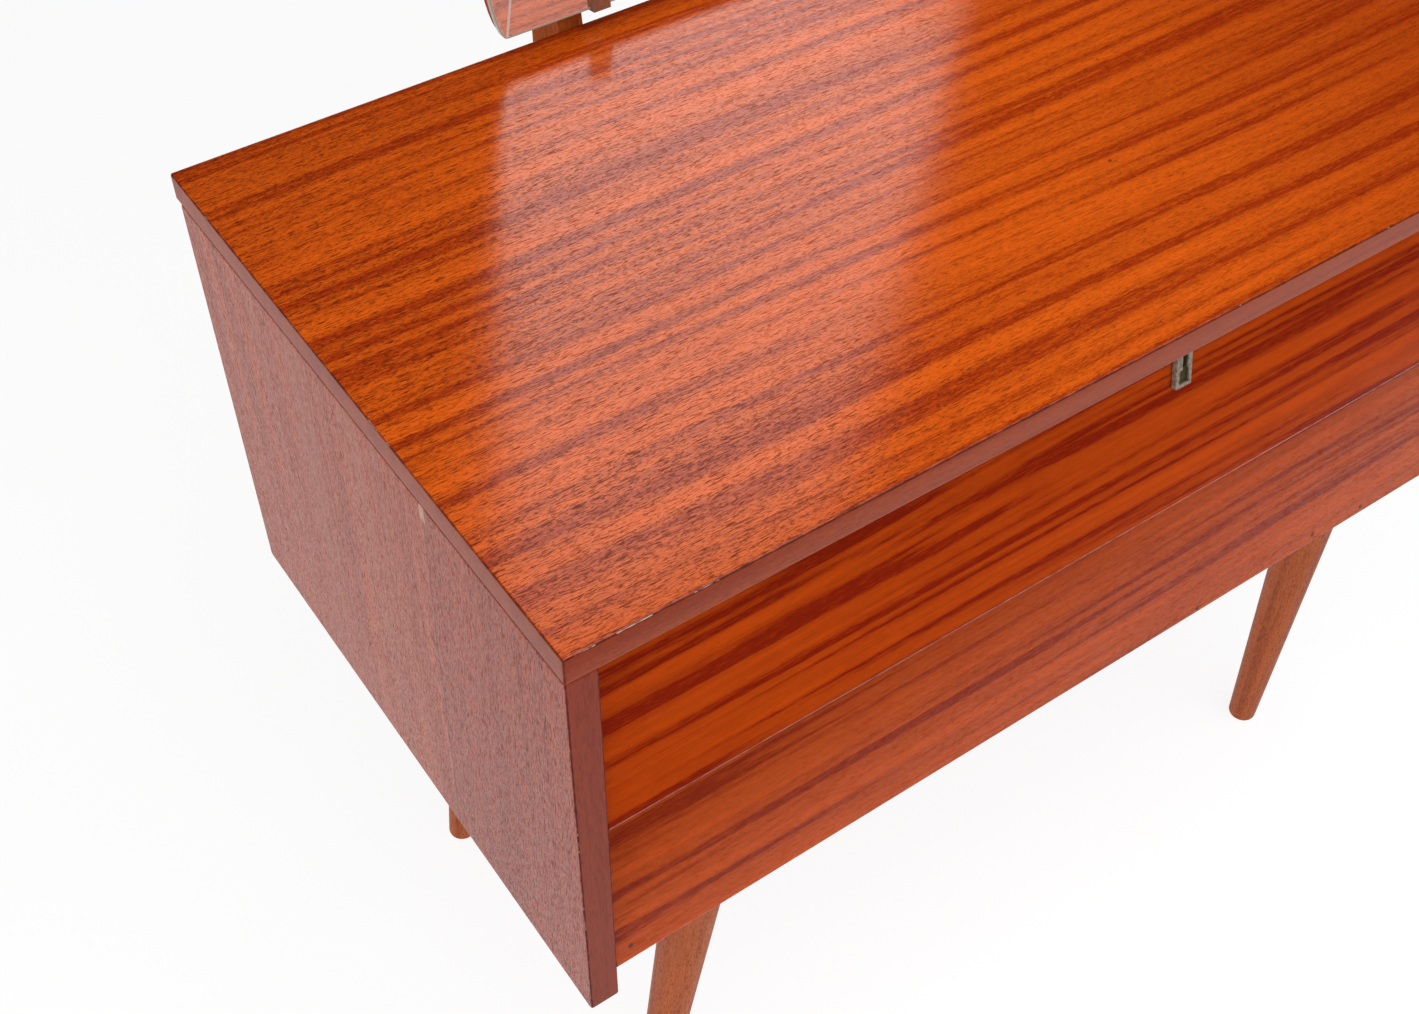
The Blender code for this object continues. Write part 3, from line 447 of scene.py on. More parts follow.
# ---------------------------------------------------------------- metal, glass, felt
def metal(name, colour, dull, rough, wear=0.5, scale=300, shine=1.0, hollow_patina_and_shade=None):
    """Old plated metal: cloudy tarnish, fine scratches and dull patches; inside a given hollow, patina
    darkened as painted shade, and painted black shade at its bottom.
    """
    mat, tree, shader = new_material(name)
    place = coords(tree)
    cloud = noise(tree, place, scale, 4, 0.6)
    speck = noise(tree, place, scale * 6, 2, 0.6)
    scratch = noise(tree, stretched(tree, place, (scale * 0.6, scale * 9, scale * 9)), 1, 2, 0.6)
    tarnish = times(tree, span(tree, cloud, 0.42, 0.66), wear)
    tint = blend(tree, tarnish, colour, dull)
    specks = times(tree, span(tree, speck, 0.6, 0.72), wear)
    tint = blend(tree, specks, tint, [c * 0.4 for c in dull])
    if hollow_patina_and_shade:
        deep = distance_along(tree, FRONT_INTO)
        front = -reach("lock_housing", -FRONT_INTO)
        inside = times(tree, span(tree, deep, front + 0.0006, front + 0.0018), inner_share(tree))
        # inside the lock's rim: olive patina, darkened as painted shade
        tint = blend(tree, inside, tint, hollow_patina_and_shade)
        # painted shade: near-black at the bottom of the lock's slot
        bottom = times(tree, span(tree, deep, front + 0.0031, front + 0.0035), inner_share(tree))
        tint = blend(tree, bottom, tint, (0.012, 0.011, 0.008))
    feed(
        tree,
        shader,
        Base_Color=tint,
        Metallic=span(tree, cloud, 0.45, 0.75, shine, shine * (1.0 - 0.5 * wear)),
        Roughness=span(tree, scratch, 0.3, 0.8, rough - 0.08, rough + 0.22),
        Normal=bump(tree, scratch, 0.15, 0.0001),
    )
    return mat


def inner_share(tree):
    """1 inside the lock's rim, 0 on its outer sides."""
    low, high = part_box("lock_housing")
    half, rim = (high.x - low.x) / 2, 0.0012
    across = split(tree, coords(tree))[0]
    off = absolute(tree, minus(tree, across, (low.x + high.x) / 2))
    return span(tree, off, half - rim, half - 0.0004, 1, 0)


def rim_and_facet_highlight_lines(tree):
    """1 on the ground rim round the glass's front, and on the line where each side's facet begins, which
    carries a painted highlight.
    """
    low, high = -reach("mirror_glass", -LEAN_UP), reach("mirror_glass", LEAN_UP)
    along = distance_along(tree, LEAN_UP)
    off = absolute(tree, minus(tree, along, (low + high) / 2))
    from_end = minus(tree, (high - low) / 2, off)
    across = absolute(tree, split(tree, coords(tree))[0])
    short, tall = GLASS_CORNER
    share = maths(tree, "SUBTRACT", 1.0, maths(tree, "DIVIDE", from_end, tall), True)
    bulge = maths(tree, "SQRT", minus(tree, 1.0, times(tree, share, share)))
    side = plus(tree, GLASS_HIGH.x - short, times(tree, bulge, short))
    to_rim = maths(tree, "MINIMUM", minus(tree, side, across), from_end)
    run = maths(tree, "MINIMUM", from_end, FACET_RUNOUT)
    facet = times(tree, run, (FACET_WIDTH - short) / FACET_RUNOUT)
    facet = minus(tree, GLASS_HIGH.x - short, facet)
    to_facet = absolute(tree, minus(tree, across, facet))
    rim = span(tree, to_rim, 0.0008, 0.0015, 1, 0)
    line = span(tree, to_facet, 0.0004, 0.0012, 0.75, 0)
    return rim, line


def mirror_glass():
    """Silvered on its face, clear polished glass on its thin edge, a ground rim, and a painted highlight on
    each facet's inner line.
    """
    mat, tree, shader = new_material("silvered_glass")
    face = span(tree, distance_along(tree, -LEAN_BACK, "Normal"), 0.90, 0.97)
    rim, facet = rim_and_facet_highlight_lines(tree)
    haze = noise(tree, stretched(tree, coords(tree), (9, 9, 9)), 1, 4, 0.6)
    dust = noise(tree, stretched(tree, coords(tree), (900, 900, 900)), 1, 1, 0.5)
    colour = blend(tree, face, (0.30, 0.30, 0.26), (0.98, 0.975, 0.95))
    colour = blend(tree, rim, colour, (0.36, 0.31, 0.25))
    # painted highlight along each facet's inner line
    colour = blend(tree, facet, colour, (0.62, 0.55, 0.50))
    clear = minus(tree, 1.0, maths(tree, "MAXIMUM", rim, facet))
    rough = plus(tree, span(tree, haze, 0.3, 0.8, 0.0, 0.02), span(tree, dust, 0.68, 0.75, 0.0, 0.05))
    feed(
        tree,
        shader,
        Base_Color=colour,
        Metallic=times(tree, face, clear),
        Roughness=rough,
        Coat_Weight=0.4,
        Coat_Roughness=0.04,
    )
    return mat


def felt():
    mat, tree, shader = new_material("green_felt")
    fuzz = noise(tree, coords(tree), 2600, 3, 0.7)
    feed(
        tree,
        shader,
        Base_Color=blend(tree, fuzz, (0.012, 0.03, 0.018), (0.05, 0.10, 0.06)),
        Roughness=0.95,
        Sheen_Weight=0.4,
        Normal=bump(tree, fuzz, 0.8, 0.0006),
    )
    return mat


# ---------------------------------------------------------------- finishing the frame's own boards
def soft_shading():
    """Geometry nodes that join a board's corners and shade it smooth up to a sharp edge."""
    group = bpy.data.node_groups.new("soft_shading", "GeometryNodeTree")
    for way in ("INPUT", "OUTPUT"):
        group.interface.new_socket("Geometry", in_out=way, socket_type="NodeSocketGeometry")
    given = node(group, "NodeGroupInput").outputs[0]
    bare = node(group, "GeometryNodeRemoveAttribute", {"Geometry": given, "Name": "custom_normal"})
    joined = node(group, "GeometryNodeMergeByDistance", {"Geometry": bare.outputs[0], "Distance": 0.00001})
    smooth = node(group, "GeometryNodeSetShadeSmooth", {"Geometry": joined.outputs[0]})
    angle = node(group, "GeometryNodeInputMeshEdgeAngle").outputs["Unsigned Angle"]
    limits = {0: angle, 1: SHARP_ANGLE}
    flat = node(group, "FunctionNodeCompare", limits, data_type="FLOAT", operation="LESS_THAN")
    shading = {"Geometry": smooth.outputs[0], "Shade Smooth": flat.outputs[0]}
    edged = node(group, "GeometryNodeSetShadeSmooth", shading, domain="EDGE")
    node(group, "NodeGroupOutput", {0: edged.outputs[0]})
    return group


SOFT = soft_shading()


def finish_node(name, mat, edge=0.0, segments=2):
    """Material, smooth shading and, where edge is given, slightly rounded edges for a CAD node."""
    obj = NODES[name]
    for slot in obj.material_slots:
        slot.material = mat
    obj.modifiers.new("soft_shading", "NODES").node_group = SOFT
    if edge:
        bevel = obj.modifiers.new("soft_edges", "BEVEL")
        bevel.width = edge
        bevel.segments = segments
        bevel.limit_method = "ANGLE"
        bevel.angle_limit = SHARP_ANGLE
        bevel.harden_normals = True
    flat = obj.modifiers.new("flat_faces", "WEIGHTED_NORMAL")
    flat.mode = "FACE_AREA"
    flat.weight = 80
    flat.keep_sharp = True


def leg_direction(name):
    """The direction from a leg's foot to its top."""
    points = [v.co for v in NODES[name].data.vertices]
    low, high = min(p.z for p in points), max(p.z for p in points)
    ends = []
    for level in (low, high):
        ring = [p for p in points if abs(p.z - level) < 0.0002]
        ends.append(sum(ring, Vector()) / len(ring))
    return (ends[1] - ends[0]).normalized()


def top_tint(tree, colour):
    """The top turns darker and redder towards its right end, and bears a few small dark marks."""
    x, y, _ = split(tree, coords(tree))
    drift = noise(tree, coords(tree), 5, 2, 0.5)
    place = plus(tree, x, times(tree, drift, 0.16))
    colour = blend(tree, span(tree, place, 0.10, 0.42, 0, 0.42), colour, (0.22, 0.010, 0.0005))
    for across, depth, radius in TOP_MARKS:
        off = maths(tree, "POWER", minus(tree, x, TOP_LOW.x + across), 2)
        off = plus(tree, off, maths(tree, "POWER", minus(tree, y, TOP_LOW.y + depth), 2))
        mark = span(tree, maths(tree, "SQRT", off), radius * 0.5, radius * 1.4, 0.75, 0)
        colour = blend(tree, mark, colour, (0.09, 0.020, 0.012))
    return colour


def two_leaves(tree, colour):
    """A side's veneer is laid in two leaves: a browner, coarser one in front of a worn upright seam."""
    _, y, z = split(tree, coords(tree))
    below = minus(tree, TOP_HIGH.z, z)
    wander = times(tree, minus(tree, noise(tree, coords(tree), 40, 2, 0.5), 0.5), 0.004)
    behind = minus(tree, y, TOP_LOW.y + SEAM_DEPTH)
    behind = minus(tree, behind, times(tree, below, SEAM_SLOPE))
    behind = plus(tree, behind, wander)
    coarse = span(tree, noise(tree, stretched(tree, coords(tree), (700, 700, 110)), 1, 2, 0.6), 0.52, 0.62)
    streak = noise(tree, stretched(tree, coords(tree), (60, 60, 3)), 1, 3, 0.6)
    leaf = blend(tree, 0.38, colour, (0.30, 0.040, 0.020))
    leaf = blend(tree, times(tree, coarse, 0.50), leaf, (0.07, 0.012, 0.008))
    rear = blend(tree, span(tree, streak, 0.48, 0.66, 0, 0.45), colour, (0.38, 0.125, 0.080))
    rear = blend(tree, span(tree, streak, 0.44, 0.34, 0, 0.50), rear, (0.30, 0.050, 0.024))
    colour = blend(tree, span(tree, behind, -0.0006, 0.0006), leaf, rear)
    gap = span(tree, absolute(tree, behind), 0.0012, 0.0002)
    colour = blend(tree, times(tree, gap, 0.6), colour, (0.07, 0.030, 0.028))
    beside = span(tree, absolute(tree, behind), 0.0030, 0.0018)
    chip = times(tree, beside, span(tree, below, 0.032, 0.026))
    return blend(tree, times(tree, chip, 0.8), colour, (0.62, 0.36, 0.25))


def keyway_painted_shade(tree, colour):
    """Painted shade: the cut through the upper front behind the lock is painted near-black inside."""
    face = -reach("upper_drawer_front", -FRONT_INTO)
    deep = span(tree, distance_along(tree, FRONT_INTO), face + 0.0002, face + 0.0008)
    off = absolute(tree, minus(tree, split(tree, coords(tree))[0], middle_of("lock_housing").x))
    inside = times(tree, deep, span(tree, off, 0.0030, 0.0036, 1, 0))
    return blend(tree, inside, colour, (0.014, 0.008, 0.005))


def dress_top():
    lacquered = wood(
        "top_veneer_lacquered", (1, 0, 0), ORANGE, RED, DEEP, gloss=0.18,
        across=2, edge_coat=0.46, edge_tone=(0.26, 0.046, 0.020), board=(TOP_LOW - SHELTERED, TOP_HIGH),
        chips=0.575, tint=top_tint, coarse_end=TOP_LOW.x + 0.05, pale_below=TOP_LOW.z,
    )
    finish_node("top_panel", lacquered)


def dress_sides():
    """Both sides and, in the left side's veneer, the bottom panel."""
    veneers = {}
    for side_name, _ in SIDES:
        low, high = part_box("side_panel_" + side_name)
        veneers[side_name] = wood(
            side_name + "_side_veneer",
            (0, 0, 1), (0.46, 0.085, 0.036), (0.31, 0.046, 0.020), (0.09, 0.018, 0.010),
            stripe=0.6, pore=0.8, fibre=0.25, gloss=0.27, seed=3.0, coat=0.64,
            across=0, edge_coat=0.30, edge_tone=(0.23, 0.038, 0.022), board=(low, high + SHELTERED),
            chips=0.63, tint=two_leaves,
        )
        finish_node("side_panel_" + side_name, veneers[side_name])
    finish_node("bottom_panel", veneers["left"], 0.0006)


def dress_fronts():
    upper = wood(
        "upper_front_veneer", (1, 0, 0), (0.46, 0.052, 0.001), (0.24, 0.011, 0.0004), DEEP,
        seed=7.0, gloss=0.15, pore=0.40, fibre=0.24, stripe=1.1, tint=keyway_painted_shade,
    )
    lower = wood(
        "lower_front_veneer", (1, 0, 0), (0.46, 0.062, 0.005), (0.26, 0.020, 0.002), DEEP,
        seed=11.0, gloss=0.17, pore=0.45, fibre=0.26, stripe=1.1, coat=0.65,
    )
    finish_node("upper_drawer_front", upper)
    finish_node("lower_drawer_front", lower)


def dress_inside():
    """The bare wood of the drawers, runners, divider, back and packers."""
    along = plain_wood("planed_beech", (0, 1, 0), BEECH_LIGHT, BEECH_DARK)
    cross = plain_wood("planed_beech_crosswise", (1, 0, 0), BEECH_LIGHT, BEECH_DARK, 5.0)
    tall = plain_wood("planed_beech_upright", (0, 0, 1), BEECH_LIGHT, BEECH_DARK, 2.0)
    ply = plain_wood("sanded_plywood", (1, 0, 0), (0.56, 0.39, 0.23), (0.42, 0.27, 0.15), 9.0, 0.68)
    finish_node("divider_panel", cross, 0.0006)
    finish_node("back_panel", ply, 0.0004)
    for level in DRAWERS:
        finish_node(level + "_drawer_bottom", ply, 0.0003)
        finish_node(level + "_drawer_back", cross, 0.0005)
        for side_name, _ in SIDES:
            finish_node(f"{level}_drawer_side_{side_name}", along, 0.0005)
            finish_node(f"runner_{level}_{side_name}", along, 0.0005)
    for side_name, _ in SIDES:
        finish_node("upright_packer_" + side_name, tall, 0.0006)


def dress_lock(steel, brass):
    # the last colour is the lock's hollow: olive patina, darkened as painted shade
    nickel = metal(
        "worn_nickel", (0.46, 0.38, 0.30), (0.13, 0.11, 0.065), 0.40, 0.8, 420, 0.35, (0.11, 0.09, 0.038)
    )
    finish_node("lock_housing", nickel, 0.0002)
    finish_node("lock_case", steel, 0.0004)
    finish_node("lock_bolt", brass, 0.0003)
    finish_node("strike_plate", steel)


def dress_legs(steel):
    for corner in CORNERS:
        leg = "leg_" + corner
        leg_wood = wood(
            leg + "_wood",
            leg_direction(leg), (0.47, 0.105, 0.026), (0.30, 0.055, 0.014), (0.09, 0.018, 0.01),
            stripe=0.6, gloss=0.30, coat=0.35, seed=13.0, pore=0.6, fibre=0.3,
        )
        finish_node(leg, leg_wood, 0.0008)
        finish_node("leg_plate_" + corner, steel, 0.0004)
        finish_node("leg_bolt_" + corner, steel)


def dress_mirror(steel, brass):
    stained = wood(
        "mirror_wood_stained",
        LEAN_UP, (0.50, 0.105, 0.018), (0.34, 0.055, 0.010), (0.06, 0.012, 0.006),
        stripe=0.5, pore=0.6, gloss=0.30, seed=17.0, coat=0.10,
    )
    bronze = metal("bronzed_steel", (0.42, 0.25, 0.16), (0.10, 0.075, 0.05), 0.38, 0.35)
    for side_name, _ in SIDES:
        finish_node("mirror_upright_" + side_name, stained, 0.0012)
        finish_node("mirror_buffer_" + side_name, felt())
        finish_node("pivot_bolt_" + side_name, steel)
        finish_node("pivot_nut_" + side_name, brass)
        finish_node("pivot_bracket_" + side_name, steel, 0.0004)
        for place in ("upper", "lower"):
            finish_node(f"upright_screw_{place}_{side_name}", steel)
            finish_node(f"mirror_clip_{place}_{side_name}", bronze, 0.0003)
    finish_node("mirror_board", stained)
    finish_node("mirror_glass", mirror_glass(), 0.0006)


def dress_frame():
    """Dresses every CAD node; returns the metals that the small fittings share."""
    dress_top()
    dress_sides()
    dress_fronts()
    dress_inside()
    steel = metal("zinc_plated_steel", (0.50, 0.50, 0.50), (0.30, 0.28, 0.25), 0.36)
    brass = metal("tarnished_brass", (0.52, 0.40, 0.16), (0.20, 0.14, 0.06), 0.36, 0.7, 500)
    dress_lock(steel, brass)
    dress_legs(steel)
    dress_mirror(steel, brass)
    return {"steel": steel, "brass": brass}


# ---------------------------------------------------------------- small fittings
def shell(bm, rings, slot=0):
    """A closed body through rings of equal length, its first and last ring capped."""
    loops = [[bm.verts.new(point) for point in ring] for ring in rings]
    faces = [loops[0][::-1], loops[-1]]
    for lower, upper in zip(loops, loops[1:]):
        for k in range(len(lower)):
            j = (k + 1) % len(lower)
            faces.append((lower[k], lower[j], upper[j], upper[k]))
    for face in faces:
        bm.faces.new(face).material_index = slot


def disc(radius, height, sides=28):
    turns = [2 * math.pi * k / sides for k in range(sides)]
    return [Vector((radius * math.cos(t), radius * math.sin(t), height)) for t in turns]


def half_disc(radius, gap, height, side, sides=14):
    """Half a disc beside a slot that runs along X; side is 1 or -1."""
    start = math.asin(gap / radius)
    turns = [start + (math.pi - 2 * start) * k / sides for k in range(sides + 1)]
    if side < 0:
        turns = [t + math.pi for t in turns]
    return [Vector((radius * math.cos(t), radius * math.sin(t), height)) for t in turns]


def placed(bm, name, place, outwards, mats, body, turn=0.0):
    """A piece made from bm, its own Z turned to face outwards at a place, riding on a body."""
    spin = Vector(outwards).to_track_quat("Z", "Y").to_matrix().to_4x4() @ Matrix.Rotation(turn, 4, "Z")
    bm.transform(Matrix.Translation(place) @ spin)
    bmesh.ops.recalc_face_normals(bm, faces=bm.faces)
    mesh = bpy.data.meshes.new(name)
    bm.to_mesh(mesh)
    bm.free()
    for mat in mats:
        mesh.materials.append(mat)
    mesh.shade_smooth()
    mesh.set_sharp_from_angle(angle=math.radians(35))
    obj = bpy.data.objects.new(name, mesh)
    bpy.context.scene.collection.objects.link(obj)
    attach(obj, body)
    return obj


def slotted_screw(name, place, outwards, head, body, turn, shank=(0.0, 0.0)):
    """A screw head with a sawn slot; head gives its radius and rise, shank its stem's radius and length."""
    bm = bmesh.new()
    radius, rise = head
    floor = rise * 0.35
    gap = radius * 0.16
    # the slot's floor takes the second material, which is painted shade
    shell(bm, [disc(radius * 0.75, -SUNK), disc(radius * 0.97, floor)], 1)
    for side in (1, -1):
        steps = ((1.0, -0.0002), (1.0, rise * 0.42), (0.93, rise * 0.66), (0.72, rise * 0.9), (0.45, rise))
        shell(bm, [half_disc(radius * share, gap, height, side) for share, height in steps])
    stem, length = shank
    if length:
        tip = -length + 2.5 * stem
        shell(bm, [disc(stem * 0.15, -length, 12), disc(stem, tip, 12), disc(stem, -0.0004, 12)])
    return placed(bm, name, place, outwards, (LOOKS["steel"], LOOKS["slot"]), body, turn)


def domed_head(name, place, outwards, head, body, mat="steel"):
    """A tack, nail or plug head: a low dome that stands a little above the wood."""
    bm = bmesh.new()
    radius, rise = head
    steps = ((1.0, -SUNK), (1.0, rise * 0.25), (0.85, rise * 0.65), (0.55, rise * 0.92), (0.2, rise))
    shell(bm, [disc(radius * share, height, 20) for share, height in steps])
    return placed(bm, name, place, outwards, (LOOKS[mat],), body)


def brass_ring(name, place, outwards, radii, heights, body):
    """A brass washer or bush: a short tube between two radii."""
    bm = bmesh.new()
    inner, outer = radii
    low, high = heights
    soft = (outer - inner) * 0.12
    profile = (
        (inner, low), (outer - soft, low), (outer, low + soft),
        (outer, high - soft), (outer - soft, high), (inner, high),
    )
    rings = [disc(radius, height) for radius, height in profile]
    loops = [[bm.verts.new(point) for point in ring] for ring in rings]
    for first, second in zip(loops, loops[1:] + loops[:1]):
        for k in range(len(first)):
            j = (k + 1) % len(first)
            bm.faces.new((first[k], first[j], second[j], second[k]))
    return placed(bm, name, place, outwards, (LOOKS["brass"],), body)


def screw_leg_plates():
    """A screw in each corner of each leg plate."""
    for corner in CORNERS:
        low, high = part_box("leg_plate_" + corner)
        left, right = low.x + LEG_SCREW_INSET, high.x - LEG_SCREW_INSET
        front, back = low.y + LEG_SCREW_INSET, high.y - LEG_SCREW_INSET
        spots = ((left, front), (right, front), (right, back), (left, back))
        for number, (x, y) in enumerate(spots, 1):
            name = f"leg_plate_screw_{corner}_{number}"
            slotted_screw(name, (x, y, low.z), (0, 0, -1), LEG_SCREW, "case", 0.7 * number)


def screw_uprights():
    """Slotted screws in the place of the frame's plain ones."""
    for side_name, _ in SIDES:
        for place, turn in (("upper", 1.1), ("lower", 0.3)):
            name = f"upright_screw_{place}_{side_name}"
            low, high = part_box(name)
            centre = (low + high) / 2
            head = ((high.x - low.x) / 2, UPRIGHT_HEAD_TALL)
            under_head = high.y - UPRIGHT_HEAD_TALL
            where = (centre.x, under_head, centre.z)
            shank = (UPRIGHT_SHANK, under_head - low.y)
            screw = slotted_screw("slotted_" + name, where, (0, 1, 0), head, "case", turn, shank)
            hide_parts(name)


def screw_brackets():
    """Two screws hold each pivot bracket's foot to the mirror board."""
    foot_rear = reach("mirror_board", LEAN_BACK) + BRACKET_FOOT_THICK
    for side_name, sign in SIDES:
        node_name = "pivot_bracket_" + side_name
        axis = middle_of("pivot_bolt_" + side_name)
        foot_x = sign * (abs(middle_of(node_name).x) - BRACKET_FOOT_SHIFT)
        for number, rise in enumerate(BRACKET_SCREW_RISES, 1):
            centre = axis + LEAN_UP * rise
            centre += LEAN_BACK * (foot_rear - centre.dot(LEAN_BACK))
            where = Vector((foot_x, centre.y, centre.z))
            name = f"bracket_screw_{side_name}_{number}"
            slotted_screw(name, where, LEAN_BACK, BRACKET_SCREW, "mirror", 0.5 + number)


def washers():
    """Thin washers that keep the mirror's brackets off the uprights."""
    for side_name, sign in SIDES:
        axis = middle_of("pivot_bolt_" + side_name)
        ear = reach("pivot_bracket_" + side_name, Vector((sign, 0, 0)))
        place = Vector((sign * (ear + 0.0001), axis.y, axis.z))
        thickness = (0.0, WASHER_THICK)
        brass_ring("pivot_washer_" + side_name, place, (sign, 0, 0), WASHER_RADII, thickness, "case")


def screw_lock_case():
    """Four screws in the back of the lock case, inside the drawer."""
    centre = middle_of("lock_case")
    low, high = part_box("lock_case")
    rear = reach("lock_case", FRONT_INTO)
    half_wide = (high.x - low.x) / 2 - LOCK_SCREW_INSET
    spots = [(across, rise) for across in (-half_wide, half_wide) for rise in LOCK_SCREW_RISES]
    for number, (across, rise) in enumerate(spots, 1):
        where = centre + Vector((across, 0, 0)) + FRONT_UP * rise
        where += FRONT_INTO * (rear - where.dot(FRONT_INTO))
        name = f"lock_case_screw_{number}"
        slotted_screw(name, where, FRONT_INTO, LOCK_SCREW, "upper_drawer", 0.9 * number)


def fit_lock():
    """The lock case's screws, the key's pin in the keyway, and the strike plate's screws."""
    screw_lock_case()
    pin_at = middle_of("lock_housing") + FRONT_UP * PIN_RISE + FRONT_INTO * PIN_DEPTH
    pin_at += Vector((PIN_SHIFT, 0, 0))
    brass_ring("lock_pin", pin_at, -FRONT_INTO, PIN_RADII, (-PIN_HALF, PIN_HALF), "upper_drawer")
    low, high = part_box("strike_plate")
    middle = (low + high) / 2
    for side_name, sign in SIDES:
        where = (middle.x + sign * ((high.x - low.x) / 2 - LOCK_SCREW_INSET), middle.y, low.z)
        slotted_screw("strike_screw_" + side_name, where, (0, 0, -1), STRIKE_SCREW, "case", 0.4 * sign)


def screw_runners():
    for level in DRAWERS:
        for side_name, sign in SIDES:
            low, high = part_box(f"runner_{level}_{side_name}")
            face = high.x if sign < 0 else low.x
            ends = (("front", low.y + RUNNER_SCREW_INSET), ("back", high.y - RUNNER_SCREW_INSET))
            for end, y in ends:
                name = f"runner_screw_{level}_{side_name}_{end}"
                where = (face, y, (low.z + high.z) / 2)
                slotted_screw(name, where, (-sign, 0, 0), RUNNER_SCREW, "case", 0.8)


def nail_drawers():
    """Three nails through each drawer side into the back, and five tacks through the bottom's rear edge."""
    for level in DRAWERS:
        back = middle_of(level + "_drawer_back")
        for side_name, sign in SIDES:
            low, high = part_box(f"{level}_drawer_side_{side_name}")
            face = low.x if sign < 0 else high.x
            for number, z in enumerate((low.z + 0.018, high.z - 0.036, high.z - 0.014), 1):
                name = f"{level}_drawer_nail_{side_name}_{number}"
                domed_head(name, (face, back.y, z), (sign, 0, 0), DRAWER_NAIL, level + "_drawer")
        low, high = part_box(level + "_drawer_bottom")
        for number in range(1, 6):
            x = low.x + (high.x - low.x) * number / 6
            name = f"{level}_bottom_tack_{number}"
            domed_head(name, (x, back.y, low.z), (0, 0, -1), BOTTOM_TACK, level + "_drawer")


def tack_back_panel():
    """Domed tacks round the edge of the back panel."""
    low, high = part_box("back_panel")
    inset = BACK_TACK_INSET
    across = [low.x + inset + (high.x - low.x - 2 * inset) * k / 6 for k in range(7)]
    upright = [low.z + inset + (high.z - low.z - 2 * inset) * k / 3 for k in (1, 2)]
    spots = [(x, z) for z in (low.z + inset, high.z - inset) for x in across]
    spots += [(x, z) for x in (across[0], across[-1]) for z in upright]
    for number, (x, z) in enumerate(spots, 1):
        domed_head(f"back_panel_tack_{number}", (x, high.y, z), (0, 1, 0), BACK_TACK, "case")


def plug_front():
    """Filled nail holes near the lower front's bottom edge."""
    face = -reach("lower_drawer_front", -FRONT_INTO)
    for number, (across, below) in enumerate(PLUGS, 1):
        where = Vector((TOP_LOW.x + across, middle_of("lower_drawer_front").y, TOP_HIGH.z - below))
        where.y += (face - where.dot(FRONT_INTO)) / FRONT_INTO.y
        name = f"front_plug_{number}"
        domed_head(name, where, -FRONT_INTO, FRONT_PLUG, "lower_drawer", "plug")


def dark_look(name, colour, rough):
    """A dull, slightly cloudy dark surface: painted shade on the floors of screw slots, and the filler's
    own colour in nail holes.
    """
    mat, tree, shader = new_material(name)
    cloud = noise(tree, coords(tree), 900, 3, 0.6)
    dull = [c * 0.55 for c in colour]
    cloudy = blend(tree, cloud, colour, dull)
    feed(tree, shader, Base_Color=cloudy, Roughness=span(tree, cloud, 0.3, 0.7, rough - 0.1, rough + 0.1))
    return mat


def add_fittings():
    screw_leg_plates()
    screw_uprights()
    screw_brackets()
    washers()
    fit_lock()
    screw_runners()
    nail_drawers()
    tack_back_panel()
    plug_front()


# ---------------------------------------------------------------- studio
def make_softbox():
    """A large lamp facing straight down, which dims over the part that hangs nearest to the table."""
    lamp = bpy.data.lights.new("ceiling_softbox", "AREA")
    lamp.shape = "RECTANGLE"
    lamp.size, lamp.size_y = SOFTBOX_SIZE
    lamp.energy = SOFTBOX_RADIANCE * math.pi * SOFTBOX_SIZE[0] * SOFTBOX_SIZE[1]
    lamp.use_nodes = True
    tree = lamp.node_tree
    place = node(tree, "ShaderNodeNewGeometry").outputs["Position"]
    dimmed = span(tree, split(tree, place)[1], -0.8, -0.1, 1.0, 0.6)
    tree.links.new(dimmed, tree.nodes["Emission"].inputs["Strength"])
    obj = bpy.data.objects.new("ceiling_softbox", lamp)
    bpy.context.scene.collection.objects.link(obj)
    obj.location = SOFTBOX_PLACE
    obj.visible_camera = False


def sheet_object(name, corners, mat):
    mesh = bpy.data.meshes.new(name)
    mesh.from_pydata(corners, [], [tuple(range(len(corners)))])
    mesh.materials.append(mat)
    obj = bpy.data.objects.new(name, mesh)
    bpy.context.scene.collection.objects.link(obj)
    return obj


def floor_material():
    """White paper under a soft lamp of its own, which lights the table's sides less than it looks."""
    mat, tree, shader = new_material("white_paper_floor")
    cloud = noise(tree, coords(tree), 3, 3, 0.5)
    on_table = node(tree, "ShaderNodeLightPath").outputs["Is Diffuse Ray"]
    feed(
        tree,
        shader,
        Base_Color=blend(tree, cloud, (0.20, 0.20, 0.20), (0.22, 0.22, 0.22)),
        Roughness=0.9,
        Specular_IOR_Level=0.0,
        Emission_Color=(1, 1, 1, 1),
        Emission_Strength=span(tree, on_table, 0, 1, 0.84, 0.54),
    )
    return mat


def make_floor():
    half = FLOOR_HALF
    corners = [(-half, -half, 0), (half, -half, 0), (half, half, 0), (-half, half, 0)]
    sheet_object("studio_floor", corners, floor_material())


def make_flag():
    """A black card on the floor in front with a soft near edge, seen only in reflections."""
    mat, tree, shader = new_material("black_card")
    fade = span(tree, split(tree, coords(tree))[1], -FLAG_FADE, 0.0, 1, 0)
    black = (0.004, 0.004, 0.004, 1)
    feed(tree, shader, Base_Color=black, Roughness=0.9, Specular_IOR_Level=0.0, Alpha=fade)
    wide, far = FLAG_HALF_WIDE, FLAG_FAR
    corners = [(-wide, -far, 0), (wide, -far, 0), (wide, 0.0, 0), (-wide, 0.0, 0)]
    flag = sheet_object("studio_flag", corners, mat)
    flag.location = (TOP_LOW.x + 0.25, TOP_LOW.y - 0.36, 0.002)
    flag.rotation_euler = (0, 0, math.radians(-7))
    flag.visible_camera = False
    flag.visible_diffuse = False
    flag.visible_shadow = False
    flag.visible_transmission = False


def white_glow(tree, strength):
    made = node(tree, "ShaderNodeBackground", {"Color": (1, 1, 1, 1), "Strength": strength})
    return made.outputs[0]


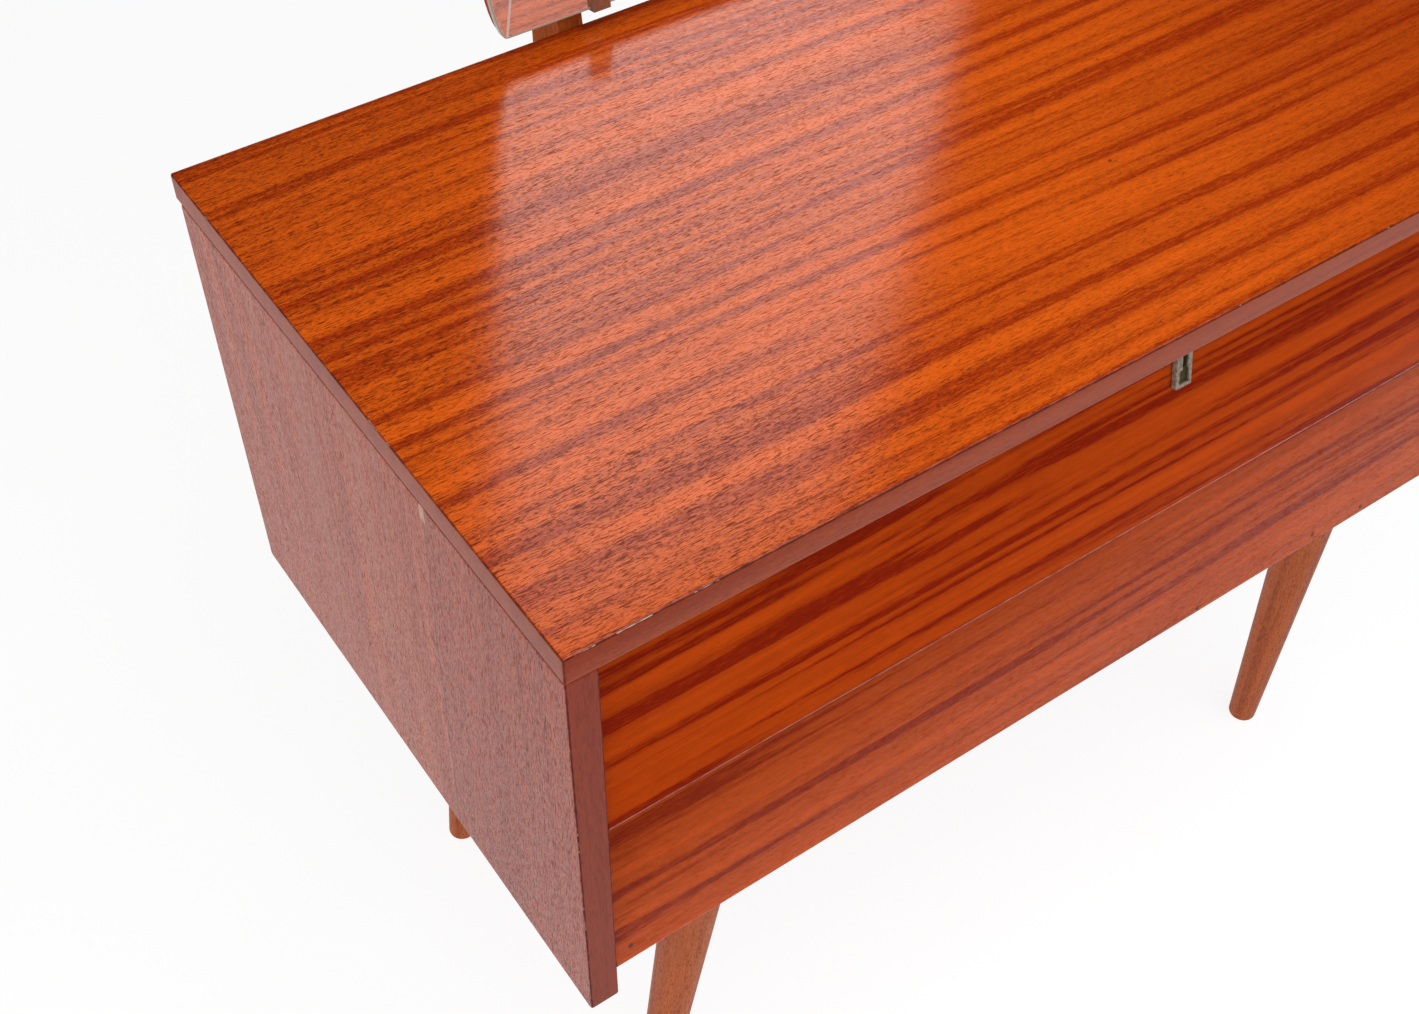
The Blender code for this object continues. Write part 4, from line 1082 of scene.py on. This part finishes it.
def make_world():
    """White behind everything, soft fill for the surfaces, and in reflections a room dark at its back."""
    world = bpy.data.worlds.new("studio_room")
    bpy.context.scene.world = world
    world.use_nodes = True
    tree = world.node_tree
    tree.nodes.clear()
    rays = node(tree, "ShaderNodeLightPath").outputs
    sideways, backwards, _ = split(tree, coords(tree, "Generated"))
    fill = white_glow(tree, span(tree, sideways, -1.0, 0.2, 0.75, 0.22))
    walls = white_glow(tree, span(tree, backwards, -0.25, 0.15, 0.60, 0.01))
    seen = white_glow(tree, 1.0)
    lit = node(tree, "ShaderNodeMixShader", {0: rays["Is Glossy Ray"], 1: fill, 2: walls}).outputs[0]
    both = node(tree, "ShaderNodeMixShader", {0: rays["Is Camera Ray"], 1: lit, 2: seen}).outputs[0]
    node(tree, "ShaderNodeOutputWorld", {0: both})


def make_camera():
    """Close in, from the front left and above, as a person standing at the table would look."""
    corner = Vector((TOP_LOW.x, TOP_LOW.y, TOP_HIGH.z))
    yaw, pitch, roll = CAMERA_YAW, CAMERA_PITCH, CAMERA_ROLL
    right = Vector((math.cos(yaw), -math.sin(yaw), 0))
    ahead = Vector((math.sin(yaw) * math.cos(pitch), math.cos(yaw) * math.cos(pitch), -math.sin(pitch)))
    up = right.cross(ahead)
    across = right * math.cos(roll) + up * math.sin(roll)
    upright = up * math.cos(roll) - right * math.sin(roll)
    camera = bpy.data.cameras.new("camera")
    camera.lens = CAMERA_LENS
    camera.sensor_width = 36
    camera.clip_start = 0.05
    obj = bpy.data.objects.new("camera", camera)
    bpy.context.scene.collection.objects.link(obj)
    turn = Matrix((across, upright, -ahead)).transposed().to_4x4()
    obj.matrix_world = Matrix.Translation(corner + CAMERA_FROM_CORNER) @ turn
    bpy.context.scene.camera = obj


def make_studio():
    make_floor()
    make_flag()
    make_world()
    make_softbox()
    bpy.context.scene.view_settings.view_transform = "Standard"


make_camera()
make_studio()
LOOKS = dress_frame()
# painted shade: the floor of every screw's slot is near-black
LOOKS["slot"] = dark_look("screw_slot_shade", (0.05, 0.045, 0.04), 0.6)
LOOKS["plug"] = dark_look("nail_hole_filler", (0.16, 0.030, 0.012), 0.5)
add_fittings()
